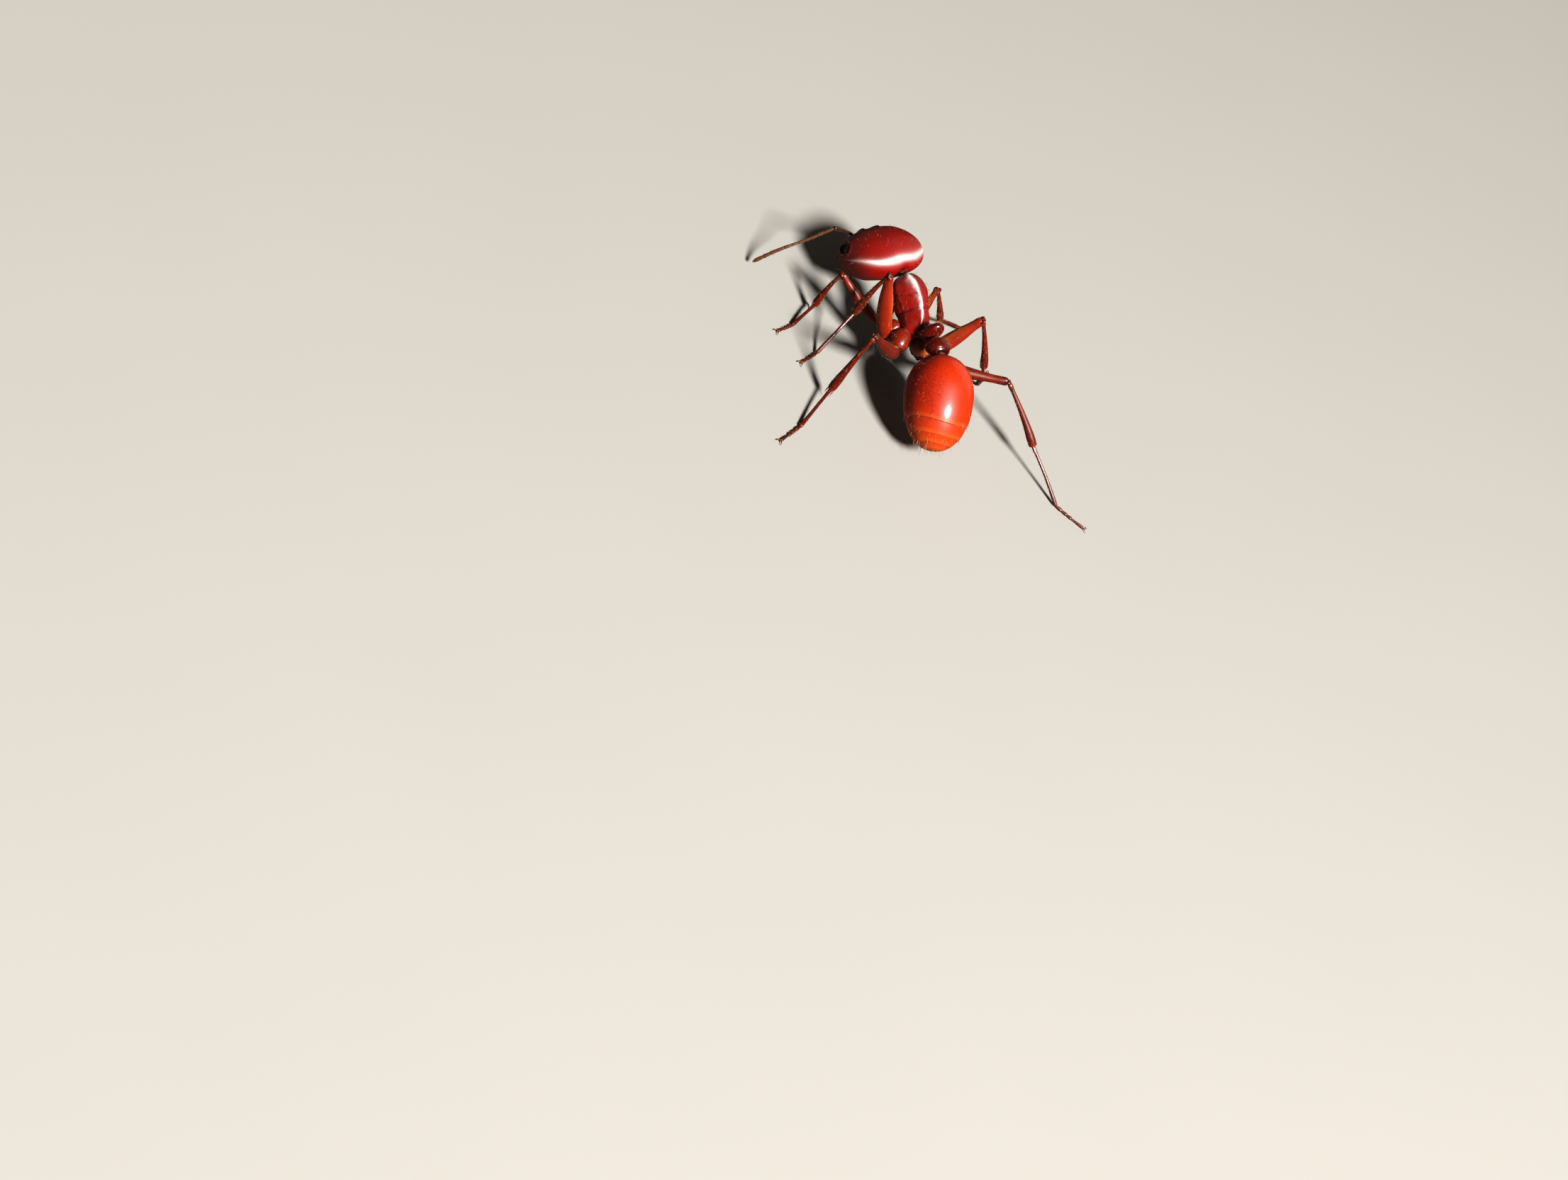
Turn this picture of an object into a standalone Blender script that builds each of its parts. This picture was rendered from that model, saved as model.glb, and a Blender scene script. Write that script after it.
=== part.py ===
# Red harvester ant, a large glossy worker standing on six legs with its head bowed.
# World axes: +Z up, the ant faces -Y, its left side is +X. Lengths below are in millimetres.
# Angles are in degrees. "Turn" swings a limb forwards from straight out to its own side,
# "rise" lifts it above the floor.

import bmesh
import bpy
from math import asin, cos, degrees, pi, radians, sin
from mathutils import Matrix, Vector

MM = 0.001

# Driving dimensions
HEAD_WIDTH = 2.58
HEAD_LENGTH = 2.42
HEAD_THICKNESS = 1.64
TRUNK_HEIGHT = 2.03          # trunk centre above the floor
GASTER_LENGTH = 2.97
GASTER_WIDTH = 2.17
LIMB_RADIUS = 0.25           # legs and feelers are kept half a millimetre thick
FIT_GAP = 0.02               # clearance between neighbouring pieces
JOINT_GAP = 0.04             # clearance between two limbs that meet at a bend
ORIGIN_SHIFT = (0.251, -1.1035)    # moves the whole ant so that its box is centred on the origin

# Attitudes: yaw to the left, pitch nose up, roll left side up
TRUNK_ATTITUDE = (0.0, 3.2, 4.5)
HEAD_ATTITUDE = (4.7, -46.2, -13.4)
GASTER_TURN = (27.6, 4.0)    # nose up and tail to the left, relative to the trunk

# Places in the trunk's own frame: forwards, left, up from the trunk centre
HEAD_FROM_TRUNK = (2.185, 0.275, -0.395)
GASTER_FROM_TRUNK = (-3.42, 0.135, -0.17)

SIDES = {"left": 1, "right": -1}

# Leg segment lengths per pair: femur, tibia, basal tarsal joint, toe joints
LEG_LENGTHS = {
    "fore": (2.12, 1.45, 1.20, 0.80),
    "mid": (2.38, 1.80, 1.60, 0.95),
    "hind": (2.75, 2.28, 1.95, 1.25),
}
# Coxa of each pair: root, tip (left side, trunk frame) and thickest radius
COXAE = {
    "fore": ((0.52, 0.30, -0.42), (-0.16, 0.57, -1.00), 0.27),
    "mid": ((-0.36, 0.30, -0.50), (-0.70, 0.64, -0.94), 0.26),
    "hind": ((-0.74, 0.26, -0.42), (-1.36, 0.62, -0.76), 0.28),
}
# The right middle leg is swung back, so its hip lies further back, out and down
HIP_SHIFT = {"mid_right": (-0.30, 0.26, -0.24)}
# Pose of each leg: femur (turn, rise), tibia (turn, rise), basal joint turn, toes turn
LEG_POSE = {
    "fore_left": ((37, 20), (-60, -84), -36, -24),
    "mid_left": ((38, 57), (-60, -86), -40, -30),
    "hind_left": ((-18, 32), (-62, -80), -42, -32),
    "fore_right": ((44, 16), (-15, -51), 4, 18),
    "mid_right": ((7, 61), (-40, -52), 24, 36),
    "hind_right": ((-28, 20), (-49, -30), -57, -41),
}

# Feelers in the head's frame: socket (forwards, left, up), scape direction, funiculus tip in
# trunk-centred world millimetres
SCAPE_LENGTH = 1.71
FEELER_SOCKET = (0.72, 0.36, 0.52)
FEELER_POSE = {
    "left": ((-0.44, 0.83, 0.34), (4.13, -2.43, 0.33)),
    "right": ((0.80, -0.55, -0.26), (-2.90, -3.45, 0.33)),
}

# Cross-section stations along the body: place forwards, half width, top, bottom
TRUNK_STATIONS = (
    (1.04, 0.23, 0.34, -0.03),
    (0.98, 0.36, 0.42, -0.16),
    (0.75, 0.56, 0.55, -0.34),
    (0.45, 0.63, 0.62, -0.47),
    (0.10, 0.56, 0.58, -0.55),
    (-0.20, 0.48, 0.50, -0.60),
    (-0.50, 0.45, 0.42, -0.60),
    (-0.74, 0.42, 0.30, -0.54),
    (-0.89, 0.32, 0.12, -0.42),
    (-0.96, 0.20, -0.02, -0.30),
)
PETIOLE_STATIONS = (
    (-0.98, 0.17, 0.10, -0.27),
    (-1.01, 0.22, 0.46, -0.22),
    (-1.05, 0.28, 0.70, -0.15),
    (-1.12, 0.31, 0.81, -0.08),
    (-1.22, 0.31, 0.82, -0.02),
    (-1.30, 0.26, 0.72, 0.03),
    (-1.34, 0.20, 0.55, 0.07),
    (-1.36, 0.15, 0.40, 0.10),
)
POSTPETIOLE_STATIONS = (
    (-1.38, 0.15, 0.40, 0.12),
    (-1.46, 0.27, 0.56, 0.06),
    (-1.58, 0.36, 0.70, 0.02),
    (-1.72, 0.40, 0.74, 0.04),
    (-1.88, 0.37, 0.73, 0.12),
    (-2.00, 0.28, 0.66, 0.22),
)
# How much narrower the trunk is at its top
TRUNK_NARROWING = 0.32
# Trunk pieces: front and rear station of each
TRUNK_CUTS = {"pronotum": (1.04, 0.22), "mesothorax": (0.22, -0.30), "propodeum": (-0.30, -0.96)}
# Gaster rings as a share of its length from the front
GASTER_CUTS = {"gaster_1": (0.0, 0.70), "gaster_2": (0.70, 0.85), "gaster_3": (0.85, 0.94),
               "gaster_tip": (0.94, 1.0)}

# Head outline
HEAD_BOXINESS = 2.3
REAR_BOXINESS = 2.9
MOUTH_NARROWING = 0.20
MOUTH_FLATTENING = 0.38
VERTEX_NOTCH = 0.025
VERTEX_DROP = 0.14
UNDER_FLATTENING = 0.22
# Eyes: place along and around the head, half length, half height and half depth, sink
EYE_PLACE = (radians(99), radians(20))
EYE_SIZE = (0.20, 0.16, 0.13)
EYE_SINK = 0.04
# Left mandible in the head's frame, from hinge to tip
MANDIBLE_PATH = ((0.86, 0.57, -0.11), (1.12, 0.58, -0.14), (1.32, 0.46, -0.17),
                 (1.45, 0.28, -0.20), (1.51, 0.13, -0.22))
MANDIBLE_RADII = (0.18, 0.21, 0.21, 0.16, 0.09)

GASTER_WAISTLINE = 0.18      # the widest ring lies this far ahead of the middle
GASTER_FLATNESS = 0.96

# Colour, roughness, metallic
FINISHES = {
    "head": ((0.28, 0.014, 0.008), 0.22, 0.0),
    "trunk": ((0.30, 0.022, 0.010), 0.25, 0.0),
    "gaster": ((0.72, 0.085, 0.012), 0.18, 0.0),
    "leg": ((0.24, 0.035, 0.012), 0.35, 0.0),
    "feeler": ((0.26, 0.075, 0.022), 0.40, 0.0),
    "eye": ((0.006, 0.005, 0.006), 0.12, 0.0),
    "mandible": ((0.10, 0.012, 0.008), 0.22, 0.0),
}


class Frame:
    """A place and three directions: forwards, left and up."""

    def __init__(self, origin, attitude):
        yaw, pitch, roll = (radians(a) for a in attitude)
        self.origin = Vector(origin)
        self.forward = Vector((sin(yaw) * cos(pitch), -cos(yaw) * cos(pitch), sin(pitch)))
        level = Vector((cos(yaw), sin(yaw), 0.0))
        upright = self.forward.cross(level)
        self.left = level * cos(roll) + upright * sin(roll)
        self.up = upright * cos(roll) - level * sin(roll)

    def way(self, forward, left, up):
        return self.forward * forward + self.left * left + self.up * up

    def at(self, forward, left, up):
        return self.origin + self.way(forward, left, up)


def turned(frame, origin, turn):
    """A copy of a frame tipped nose up about its left axis, then swung tail left about its up."""
    new = Frame(origin, (0, 0, 0))
    pitch, swing = turn
    tip = Matrix.Rotation(radians(-pitch), 3, frame.left)
    twist = Matrix.Rotation(radians(-swing), 3, tip @ frame.up) @ tip
    new.forward, new.left, new.up = twist @ frame.forward, twist @ frame.left, twist @ frame.up
    return new


trunk = Frame((0.0, 0.0, TRUNK_HEIGHT), TRUNK_ATTITUDE)
head = Frame(trunk.at(*HEAD_FROM_TRUNK), HEAD_ATTITUDE)
gaster = turned(trunk, trunk.at(*GASTER_FROM_TRUNK), GASTER_TURN)


# ---------------------------------------------------------------- mesh helpers

def finish(name):
    """The material of one family of pieces, made once."""
    material = bpy.data.materials.get(name)
    if material is None:
        colour, roughness, metallic = FINISHES[name]
        material = bpy.data.materials.new(name)
        material.use_nodes = True
        shader = material.node_tree.nodes["Principled BSDF"]
        shader.inputs["Base Color"].default_value = (*colour, 1.0)
        shader.inputs["Roughness"].default_value = roughness
        shader.inputs["Metallic"].default_value = metallic
    return material


def add_piece(name, mesh, material):
    """Shade a mesh smooth and put it in the scene as one named piece."""
    mesh.shade_smooth()
    mesh.set_sharp_from_angle(angle=radians(50))
    mesh.materials.append(finish(material))
    piece = bpy.data.objects.new(name, mesh)
    bpy.context.scene.collection.objects.link(piece)
    return piece


def loft(name, rings, material):
    """Join rings of points with quads and close both ends."""
    form = bmesh.new()
    shift = Vector((ORIGIN_SHIFT[0], ORIGIN_SHIFT[1], 0.0))
    rows = [[form.verts.new((point + shift) * MM) for point in ring] for ring in rings]
    count = len(rows[0])
    for near, far in zip(rows, rows[1:]):
        for i in range(count):
            j = (i + 1) % count
            form.faces.new((near[i], near[j], far[j], far[i]))
    for row in (rows[0], rows[-1]):
        centre = sum((v.co for v in row), Vector()) / count
        hub = form.verts.new(centre)
        for i in range(count):
            form.faces.new((row[i], row[(i + 1) % count], hub))
    bmesh.ops.recalc_face_normals(form, faces=form.faces)
    mesh = bpy.data.meshes.new(name)
    form.to_mesh(mesh)
    form.free()
    return add_piece(name, mesh, material)


def hide(piece):
    """Keep a shape only as a cutter."""
    piece.hide_render = True
    piece.display_type = "WIRE"
    return piece


def cutter(piece):
    """A slightly swollen copy of a piece, which trims its neighbours."""
    name = "cut_" + piece.name
    found = bpy.data.objects.get(name)
    if found:
        return found
    mesh = piece.data.copy()
    for vertex in mesh.vertices:
        vertex.co += vertex.normal * FIT_GAP * MM
    copy = bpy.data.objects.new(name, mesh)
    bpy.context.scene.collection.objects.link(copy)
    return hide(copy)


def trim(piece, *neighbours):
    """Cut a piece back to the surface of its neighbours."""
    for neighbour in neighbours:
        cut = piece.modifiers.new("Trim to " + neighbour.name, "BOOLEAN")
        cut.operation = "DIFFERENCE"
        cut.solver = "EXACT"
        cut.object = cutter(neighbour)


def rounded(angle, power):
    """A point on a rounded outline; power 2 is an ellipse, more is boxier."""
    c, s = cos(angle), sin(angle)
    across = abs(c) ** (2 / power) * (1 if c >= 0 else -1)
    upward = abs(s) ** (2 / power) * (1 if s >= 0 else -1)
    return across, upward


def between(stations, place):
    """Smooth values between neighbouring stations at one place along the body."""
    rows = sorted(stations)
    place = min(max(place, rows[0][0]), rows[-1][0])
    k = max(i for i in range(len(rows) - 1) if rows[i][0] <= place)
    before, a, b, after = rows[max(k - 1, 0)], rows[k], rows[k + 1], rows[min(k + 2, len(rows) - 1)]
    t = (place - a[0]) / (b[0] - a[0])
    values = []
    for j in range(1, len(a)):
        slope_a = (b[j] - before[j]) / (b[0] - before[0]) * (b[0] - a[0])
        slope_b = (after[j] - a[j]) / (after[0] - a[0]) * (b[0] - a[0])
        values.append(a[j] * (2 * t**3 - 3 * t**2 + 1) + slope_a * (t**3 - 2 * t**2 + t)
                      + b[j] * (3 * t**2 - 2 * t**3) + slope_b * (t**3 - t**2))
    return values


def barrel(name, frame, stations, front, rear, count, sides, material, narrowing=0.0, power=2.2):
    """A body ring between two stations, lofted along a frame's forward axis. Narrowing is the
    share of its width that it has lost at the top."""
    rings = []
    for k in range(count):
        place = front + (rear - front) * k / (count - 1)
        half, top, bottom = between(stations, place)
        middle, tall = (top + bottom) / 2, (top - bottom) / 2
        ring = []
        for i in range(sides):
            across, upward = rounded(2 * pi * (i + 0.5) / sides, power)
            width = half * (1 - narrowing * max(upward, 0.0))
            ring.append(frame.at(place, width * across, middle + tall * upward))
        rings.append(ring)
    return loft(name, rings, material)


def limb(name, path, radii, sides, material, first_way=None, last_way=None, level_feet=False):
    """A round limb along a path, one radius at each point. The end rings can lie square to a
    given way, so that two limbs meet flat at a bent joint. Level feet keep one flat side down."""
    rings = []
    level = None
    for k, (point, radius) in enumerate(zip(path, radii)):
        ahead = path[min(k + 1, len(path) - 1)] - path[max(k - 1, 0)]
        if k == 0 and first_way:
            ahead = first_way
        if k == len(path) - 1 and last_way:
            ahead = last_way
        ahead = ahead.normalized()
        if level is None or level_feet:
            level = ahead.cross(Vector((0, 0, 1)))
            if level.length < 0.2:
                level = Vector((1, 0, 0))
        level = (level - ahead * level.dot(ahead)).normalized()
        upright = level.cross(ahead)
        rings.append([point + (level * cos(angle) + upright * sin(angle)) * radius
                      for angle in (2 * pi * (i + 0.5) / sides for i in range(sides))])
    return loft(name, rings, material)


def stretch(start, end, shares):
    """Points at the given shares of a straight stretch."""
    return [start.lerp(end, share) for share in shares]


def heading(side, turn, rise):
    """World direction of a limb: turned forwards from straight out, and raised."""
    turn, rise = radians(turn), radians(rise)
    return Vector((side * cos(turn) * cos(rise), -sin(turn) * cos(rise), sin(rise)))


# ---------------------------------------------------------------- head

def head_point(along, around):
    """Surface of the head. Along runs from 0 at the vertex to pi at the mouth."""
    place, girth = -cos(along), abs(sin(along)) ** (2 / HEAD_BOXINESS)
    across, upward = rounded(around, HEAD_BOXINESS)
    front, rear = max(place, 0.0), max(-place, 0.0) ** (2 / HEAD_BOXINESS)
    breadth = girth if place > 0 else max(0.0, 1 - rear**REAR_BOXINESS) ** (1 / REAR_BOXINESS)
    width = HEAD_WIDTH / 2 * breadth * (1 - MOUTH_NARROWING * front**2)
    thickness = HEAD_THICKNESS / 2 * girth * (1 - MOUTH_FLATTENING * front**1.5)
    if upward < 0:
        thickness *= 1 - UNDER_FLATTENING * rear
    forward = HEAD_LENGTH / 2 * abs(place) ** (2 / HEAD_BOXINESS) * (1 if place > 0 else -1)
    notch = VERTEX_NOTCH * rear**2 * max(0.0, 1 - (across * breadth / 0.5) ** 2)
    return head.at(forward + notch, width * across, thickness * upward - VERTEX_DROP * rear**1.5)


def build_head():
    rings, sides, count = [], 26, 15
    for k in range(count):
        along = pi * (k + 0.55) / (count + 0.1)
        rings.append([head_point(along, 2 * pi * (i + 0.5) / sides) for i in range(sides)])
    return loft("head", rings, "head")


def build_eye(side_name, side):
    """A flattened bead set in a socket on the side of the head."""
    along, around = EYE_PLACE
    around = around if side > 0 else pi - around
    centre = head_point(along, around)
    lengthways = (head_point(along + 0.05, around) - head_point(along - 0.05, around)).normalized()
    upwards = (head_point(along, around + 0.05) - head_point(along, around - 0.05)).normalized()
    outward = lengthways.cross(upwards).normalized()
    if outward.dot(centre - head.origin) < 0:
        outward = -outward
    upwards = outward.cross(lengthways)
    rings, sides, count = [], 14, 7
    for k in range(count):
        tilt = pi * (k + 0.6) / (count + 0.2)
        ring = []
        for i in range(sides):
            turn = 2 * pi * i / sides
            ring.append(centre + outward * (EYE_SIZE[2] * cos(tilt) - EYE_SINK)
                        + lengthways * EYE_SIZE[0] * sin(tilt) * cos(turn)
                        + upwards * EYE_SIZE[1] * sin(tilt) * sin(turn))
        rings.append(ring)
    return loft("eye_" + side_name, rings, "eye")


def build_mandible(side_name, side):
    path = [head.at(f, side * l, u) for f, l, u in MANDIBLE_PATH]
    return limb("mandible_" + side_name, path, MANDIBLE_RADII, 10, "mandible")


def build_feeler(side_name, side):
    """Scape and funiculus, joined at the elbow."""
    way, tip = FEELER_POSE[side_name]
    way, tip = head.way(*way).normalized(), Vector(tip)
    socket = head.at(FEELER_SOCKET[0], side * FEELER_SOCKET[1], FEELER_SOCKET[2])
    elbow = socket + way * SCAPE_LENGTH
    onward = (tip - elbow).normalized()
    bend = (way + onward).normalized()
    gap = bend * JOINT_GAP / 2
    path = stretch(socket, elbow, (0.0, 0.2, 0.8)) + [elbow - gap]
    radii = [0.8 * LIMB_RADIUS, 0.9 * LIMB_RADIUS, LIMB_RADIUS, LIMB_RADIUS]
    scape = limb("scape_" + side_name, path, radii, 8, "feeler", last_way=bend)
    path = [elbow + gap] + stretch(elbow, tip, (0.12, 0.4, 0.7, 0.94, 1.0))
    radii = [LIMB_RADIUS] * 5 + [0.6 * LIMB_RADIUS]
    funiculus = limb("funiculus_" + side_name, path, radii, 8, "feeler", first_way=bend)
    return scape, funiculus


# ---------------------------------------------------------------- trunk, waist and gaster

def build_trunk():
    """Three body rings cut from one outline, and that outline as a cutter for the coxae."""
    pieces = []
    for name, (front, rear) in TRUNK_CUTS.items():
        front = front if front == TRUNK_STATIONS[0][0] else front - FIT_GAP / 2
        rear = rear if rear == TRUNK_STATIONS[-1][0] else rear + FIT_GAP / 2
        pieces.append(barrel(name, trunk, TRUNK_STATIONS, front, rear, 8, 20, "trunk", TRUNK_NARROWING))
    ends = TRUNK_STATIONS[0][0], TRUNK_STATIONS[-1][0]
    outline = barrel("trunk_outline", trunk, TRUNK_STATIONS, *ends, 18, 20, "trunk", TRUNK_NARROWING)
    return pieces, hide(outline)


def build_gaster():
    """Egg-shaped rings that share one outline, widest a little ahead of the middle."""
    pieces = []
    ahead, behind = GASTER_LENGTH / 2 - GASTER_WAISTLINE, GASTER_LENGTH / 2 + GASTER_WAISTLINE
    for name, (start, end) in GASTER_CUTS.items():
        first = GASTER_LENGTH * start + (FIT_GAP / 2 if start > 0 else 0.012)
        last = GASTER_LENGTH * end - (FIT_GAP / 2 if end < 1 else 0.012)
        count = 12 if start == 0 else 4
        rings = []
        for k in range(count):
            share = k / (count - 1)
            if start == 0:
                share = 1 - cos(share * pi / 2)
            elif end == 1:
                share = sin(share * pi / 2)
            place = GASTER_LENGTH / 2 - (first + (last - first) * share)
            reach = (place - GASTER_WAISTLINE) / (ahead if place > GASTER_WAISTLINE else behind)
            girth = (1 - min(abs(reach), 1.0) ** 2.2) ** (1 / 2.2) * GASTER_WIDTH / 2
            ring = []
            for i in range(24):
                across, upward = rounded(2 * pi * (i + 0.5) / 24, 2.0)
                ring.append(gaster.at(place, girth * across, girth * GASTER_FLATNESS * upward))
            rings.append(ring)
        pieces.append(loft(name, rings, "gaster"))
    return pieces


# ---------------------------------------------------------------- legs

def build_coxa(pair, side_name, side):
    root, tip, radius = COXAE[pair]
    root = trunk.at(root[0], side * root[1], root[2])
    shift = HIP_SHIFT.get(pair + "_" + side_name, (0.0, 0.0, 0.0))
    tip = trunk.at(tip[0] + shift[0], side * (tip[1] + shift[1]), tip[2] + shift[2])
    path = stretch(root, tip, (0.0, 0.25, 0.5, 0.75, 0.94, 1.0))
    radii = [radius * share for share in (0.8, 1.0, 1.0, 0.9, 0.72, 0.42)]
    return limb("coxa_%s_%s" % (pair, side_name), path, radii, 12, "leg"), tip


def build_leg(pair, side_name, side):
    coxa, hip = build_coxa(pair, side_name, side)
    femur_length, tibia_length, heel_length, toe_length = LEG_LENGTHS[pair]
    (femur_turn, femur_rise), (tibia_turn, tibia_rise), heel_turn, toe_turn = \
        LEG_POSE[pair + "_" + side_name]
    femur_way = heading(side, femur_turn, femur_rise)
    tibia_way = heading(side, tibia_turn, tibia_rise)
    knee = hip + femur_way * femur_length
    ankle = knee + tibia_way * tibia_length
    sole = LIMB_RADIUS * cos(pi / 8)
    drop = degrees(asin(min(1.0, (ankle.z - sole) / heel_length)))
    heel_way = heading(side, heel_turn, -drop)
    heel = ankle + heel_way * heel_length
    toe_way = heading(side, toe_turn, 0.0)
    tip = heel + toe_way * toe_length
    suffix = "_%s_%s" % (pair, side_name)
    at_knee, at_ankle = (femur_way + tibia_way).normalized(), (tibia_way + heel_way).normalized()

    path = stretch(hip, knee, (0.0, 0.10, 0.3, 0.55, 0.8, 0.9)) + [knee - at_knee * JOINT_GAP / 2]
    radii = [LIMB_RADIUS * share for share in (0.7, 0.84, 1.0, 1.04, 1.0, 0.98, 0.96)]
    femur = limb("femur" + suffix, path, radii, 8, "leg", last_way=at_knee)
    trim(femur, coxa)

    path = [knee + at_knee * JOINT_GAP / 2] + stretch(knee, ankle, (0.2, 0.5, 0.8))
    path.append(ankle - at_ankle * JOINT_GAP / 2)
    radii = [LIMB_RADIUS * share for share in (0.96, 0.96, 0.96, 1.0, 0.96)]
    tibia = limb("tibia" + suffix, path, radii, 8, "leg", first_way=at_knee, last_way=at_ankle)
    trim(tibia, femur)

    path = [ankle + at_ankle * JOINT_GAP / 2] + stretch(ankle, heel, (0.22, 0.6, 0.86))
    path += stretch(heel, tip, (0.12, 0.5, 0.9, 1.0))
    radii = [0.96 * LIMB_RADIUS] * 2 + [0.98 * LIMB_RADIUS] * 2 + [LIMB_RADIUS] * 3 + [0.6 * LIMB_RADIUS]
    limb("tarsus" + suffix, path, radii, 8, "leg", first_way=at_ankle, level_feet=True)
    return coxa, femur


# ---------------------------------------------------------------- the whole ant

for old in list(bpy.data.objects):
    bpy.data.objects.remove(old, do_unlink=True)

skull = build_head()
trunk_pieces, trunk_outline = build_trunk()
gaster_pieces = build_gaster()
petiole = barrel("petiole", trunk, PETIOLE_STATIONS, -0.98, -1.36, 9, 16, "trunk")
postpetiole = barrel("postpetiole", trunk, POSTPETIOLE_STATIONS, -1.38, -2.00, 8, 18, "trunk")
trim(postpetiole, gaster_pieces[0])
neck_path = stretch(trunk.at(1.06, 0, 0.14), head.at(-0.62, 0.03, -0.36), (0.0, 0.5, 1.0))
neck = limb("neck", neck_path, (0.15, 0.17, 0.17), 12, "trunk", first_way=trunk.forward)
trim(neck, skull)

for side_name, side in SIDES.items():
    trim(skull, build_eye(side_name, side))
    mandible = build_mandible(side_name, side)
    trim(mandible, skull)
    scape, funiculus = build_feeler(side_name, side)
    trim(scape, skull)
    coxae = []
    for pair in LEG_LENGTHS:
        coxa, femur = build_leg(pair, side_name, side)
        trim(coxa, trunk_outline, *coxae)
        coxae.append(coxa)
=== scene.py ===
# Red harvester ant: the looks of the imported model, built round it in its own frame.
# Lengths are millimetres and angles degrees. The ant faces -Y, and its left side is +X.

import random
from math import asin, cos, degrees, exp, pi, radians, sin, sqrt, tau

import bmesh
import bpy
from mathutils import Matrix, Vector, noise


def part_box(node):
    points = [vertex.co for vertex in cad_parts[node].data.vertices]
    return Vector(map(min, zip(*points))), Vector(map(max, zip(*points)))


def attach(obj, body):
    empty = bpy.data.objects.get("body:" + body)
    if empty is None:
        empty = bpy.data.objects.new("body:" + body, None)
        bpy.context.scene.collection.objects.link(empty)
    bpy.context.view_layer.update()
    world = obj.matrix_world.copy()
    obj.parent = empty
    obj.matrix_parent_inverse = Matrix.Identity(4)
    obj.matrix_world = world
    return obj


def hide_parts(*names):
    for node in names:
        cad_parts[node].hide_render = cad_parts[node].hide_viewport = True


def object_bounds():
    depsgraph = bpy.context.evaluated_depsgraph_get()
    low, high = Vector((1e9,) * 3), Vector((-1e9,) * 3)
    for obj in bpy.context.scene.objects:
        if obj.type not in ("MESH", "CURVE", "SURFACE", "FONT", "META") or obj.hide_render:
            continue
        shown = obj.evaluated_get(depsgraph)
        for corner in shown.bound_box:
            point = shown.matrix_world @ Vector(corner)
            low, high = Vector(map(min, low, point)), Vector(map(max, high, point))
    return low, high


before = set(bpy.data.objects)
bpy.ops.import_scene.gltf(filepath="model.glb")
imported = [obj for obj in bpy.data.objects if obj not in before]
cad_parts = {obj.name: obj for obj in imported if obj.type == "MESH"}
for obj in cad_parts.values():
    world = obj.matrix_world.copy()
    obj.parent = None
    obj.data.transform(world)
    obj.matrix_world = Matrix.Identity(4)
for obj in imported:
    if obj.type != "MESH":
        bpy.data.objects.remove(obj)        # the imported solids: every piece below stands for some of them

mm = 0.001
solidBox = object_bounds()
print("frame loaded:", len(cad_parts), "solids")


# The stance, as the solids have it. Turn swings a limb forwards from straight out, rise lifts it.
stance = {
    "standShift": (0.251, -1.1035),
    "trunkHeight": 2.03,
    "trunkAttitude": (0.0, 3.2, 4.5),
    "headAttitude": (4.7, -46.2, -13.4),
    "headFromTrunk": (2.185, 0.275, -0.395),
    "gasterFromTrunk": (-3.42, 0.135, -0.17),
    "gasterTurn": (27.6, 4.0),        # nose up, and tail to the left
}
sides = {"left": 1, "right": -1}


class Frame:
    # A place and three ways from it: forwards, left and up
    def __init__(self, origin, yaw=0.0, pitch=0.0, roll=0.0):
        yaw, pitch, roll = radians(yaw), radians(pitch), radians(roll)
        self.origin = Vector(origin)
        self.forward = Vector((sin(yaw) * cos(pitch), -cos(yaw) * cos(pitch), sin(pitch)))
        level = Vector((cos(yaw), sin(yaw), 0.0))
        upright = self.forward.cross(level)
        self.left = level * cos(roll) + upright * sin(roll)
        self.up = upright * cos(roll) - level * sin(roll)

    def way(self, forward, left, up):
        return self.forward * forward + self.left * left + self.up * up

    def at(self, forward, left, up):
        return self.origin + self.way(forward, left, up)

    def axes(self, crosswise=False):
        # these ways as an object's own axes: Z forwards, or crosswise Z left
        ways = (self.up, self.forward, self.left) if crosswise else (self.left, self.up, self.forward)
        return Matrix.Translation(self.origin * mm) @ Matrix(ways).transposed().to_4x4()

    def place(self, point):
        # forwards, left and up of a point from the origin
        away = point - self.origin
        return away.dot(self.forward), away.dot(self.left), away.dot(self.up)


def turnedFrame(base, origin, turn):
    made = Frame(origin)
    pitch, swing = turn
    tip = Matrix.Rotation(radians(-pitch), 3, base.left)
    twist = Matrix.Rotation(radians(-swing), 3, tip @ base.up) @ tip
    made.forward, made.left, made.up = twist @ base.forward, twist @ base.left, twist @ base.up
    return made


trunk = Frame((*stance["standShift"], stance["trunkHeight"]), *stance["trunkAttitude"])
head = Frame(trunk.at(*stance["headFromTrunk"]), *stance["headAttitude"])
gaster = turnedFrame(trunk, trunk.at(*stance["gasterFromTrunk"]), stance["gasterTurn"])


# The finishes

class Value:
    # A shader socket with arithmetic: an expression on values adds its Math nodes
    def __init__(self, finish, socket):
        self.finish, self.socket = finish, socket

    def maths(self, operation, *operands):
        values = {k: operand for k, operand in enumerate(operands)}
        return self.finish.add("ShaderNodeMath", {"operation": operation}, values)

    def __add__(self, other):
        return self.maths("ADD", self, other)

    def __sub__(self, other):
        return self.maths("SUBTRACT", self, other)

    def __rsub__(self, other):
        return self.maths("SUBTRACT", other, self)

    def __mul__(self, other):
        return self.maths("MULTIPLY", self, other)

    __radd__, __rmul__ = __add__, __mul__

    def sine(self):
        return self.maths("SINE", self)

    def clamped(self):
        return self.maths("MINIMUM", self.maths("MAXIMUM", self, 0.0), 1.0)


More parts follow.
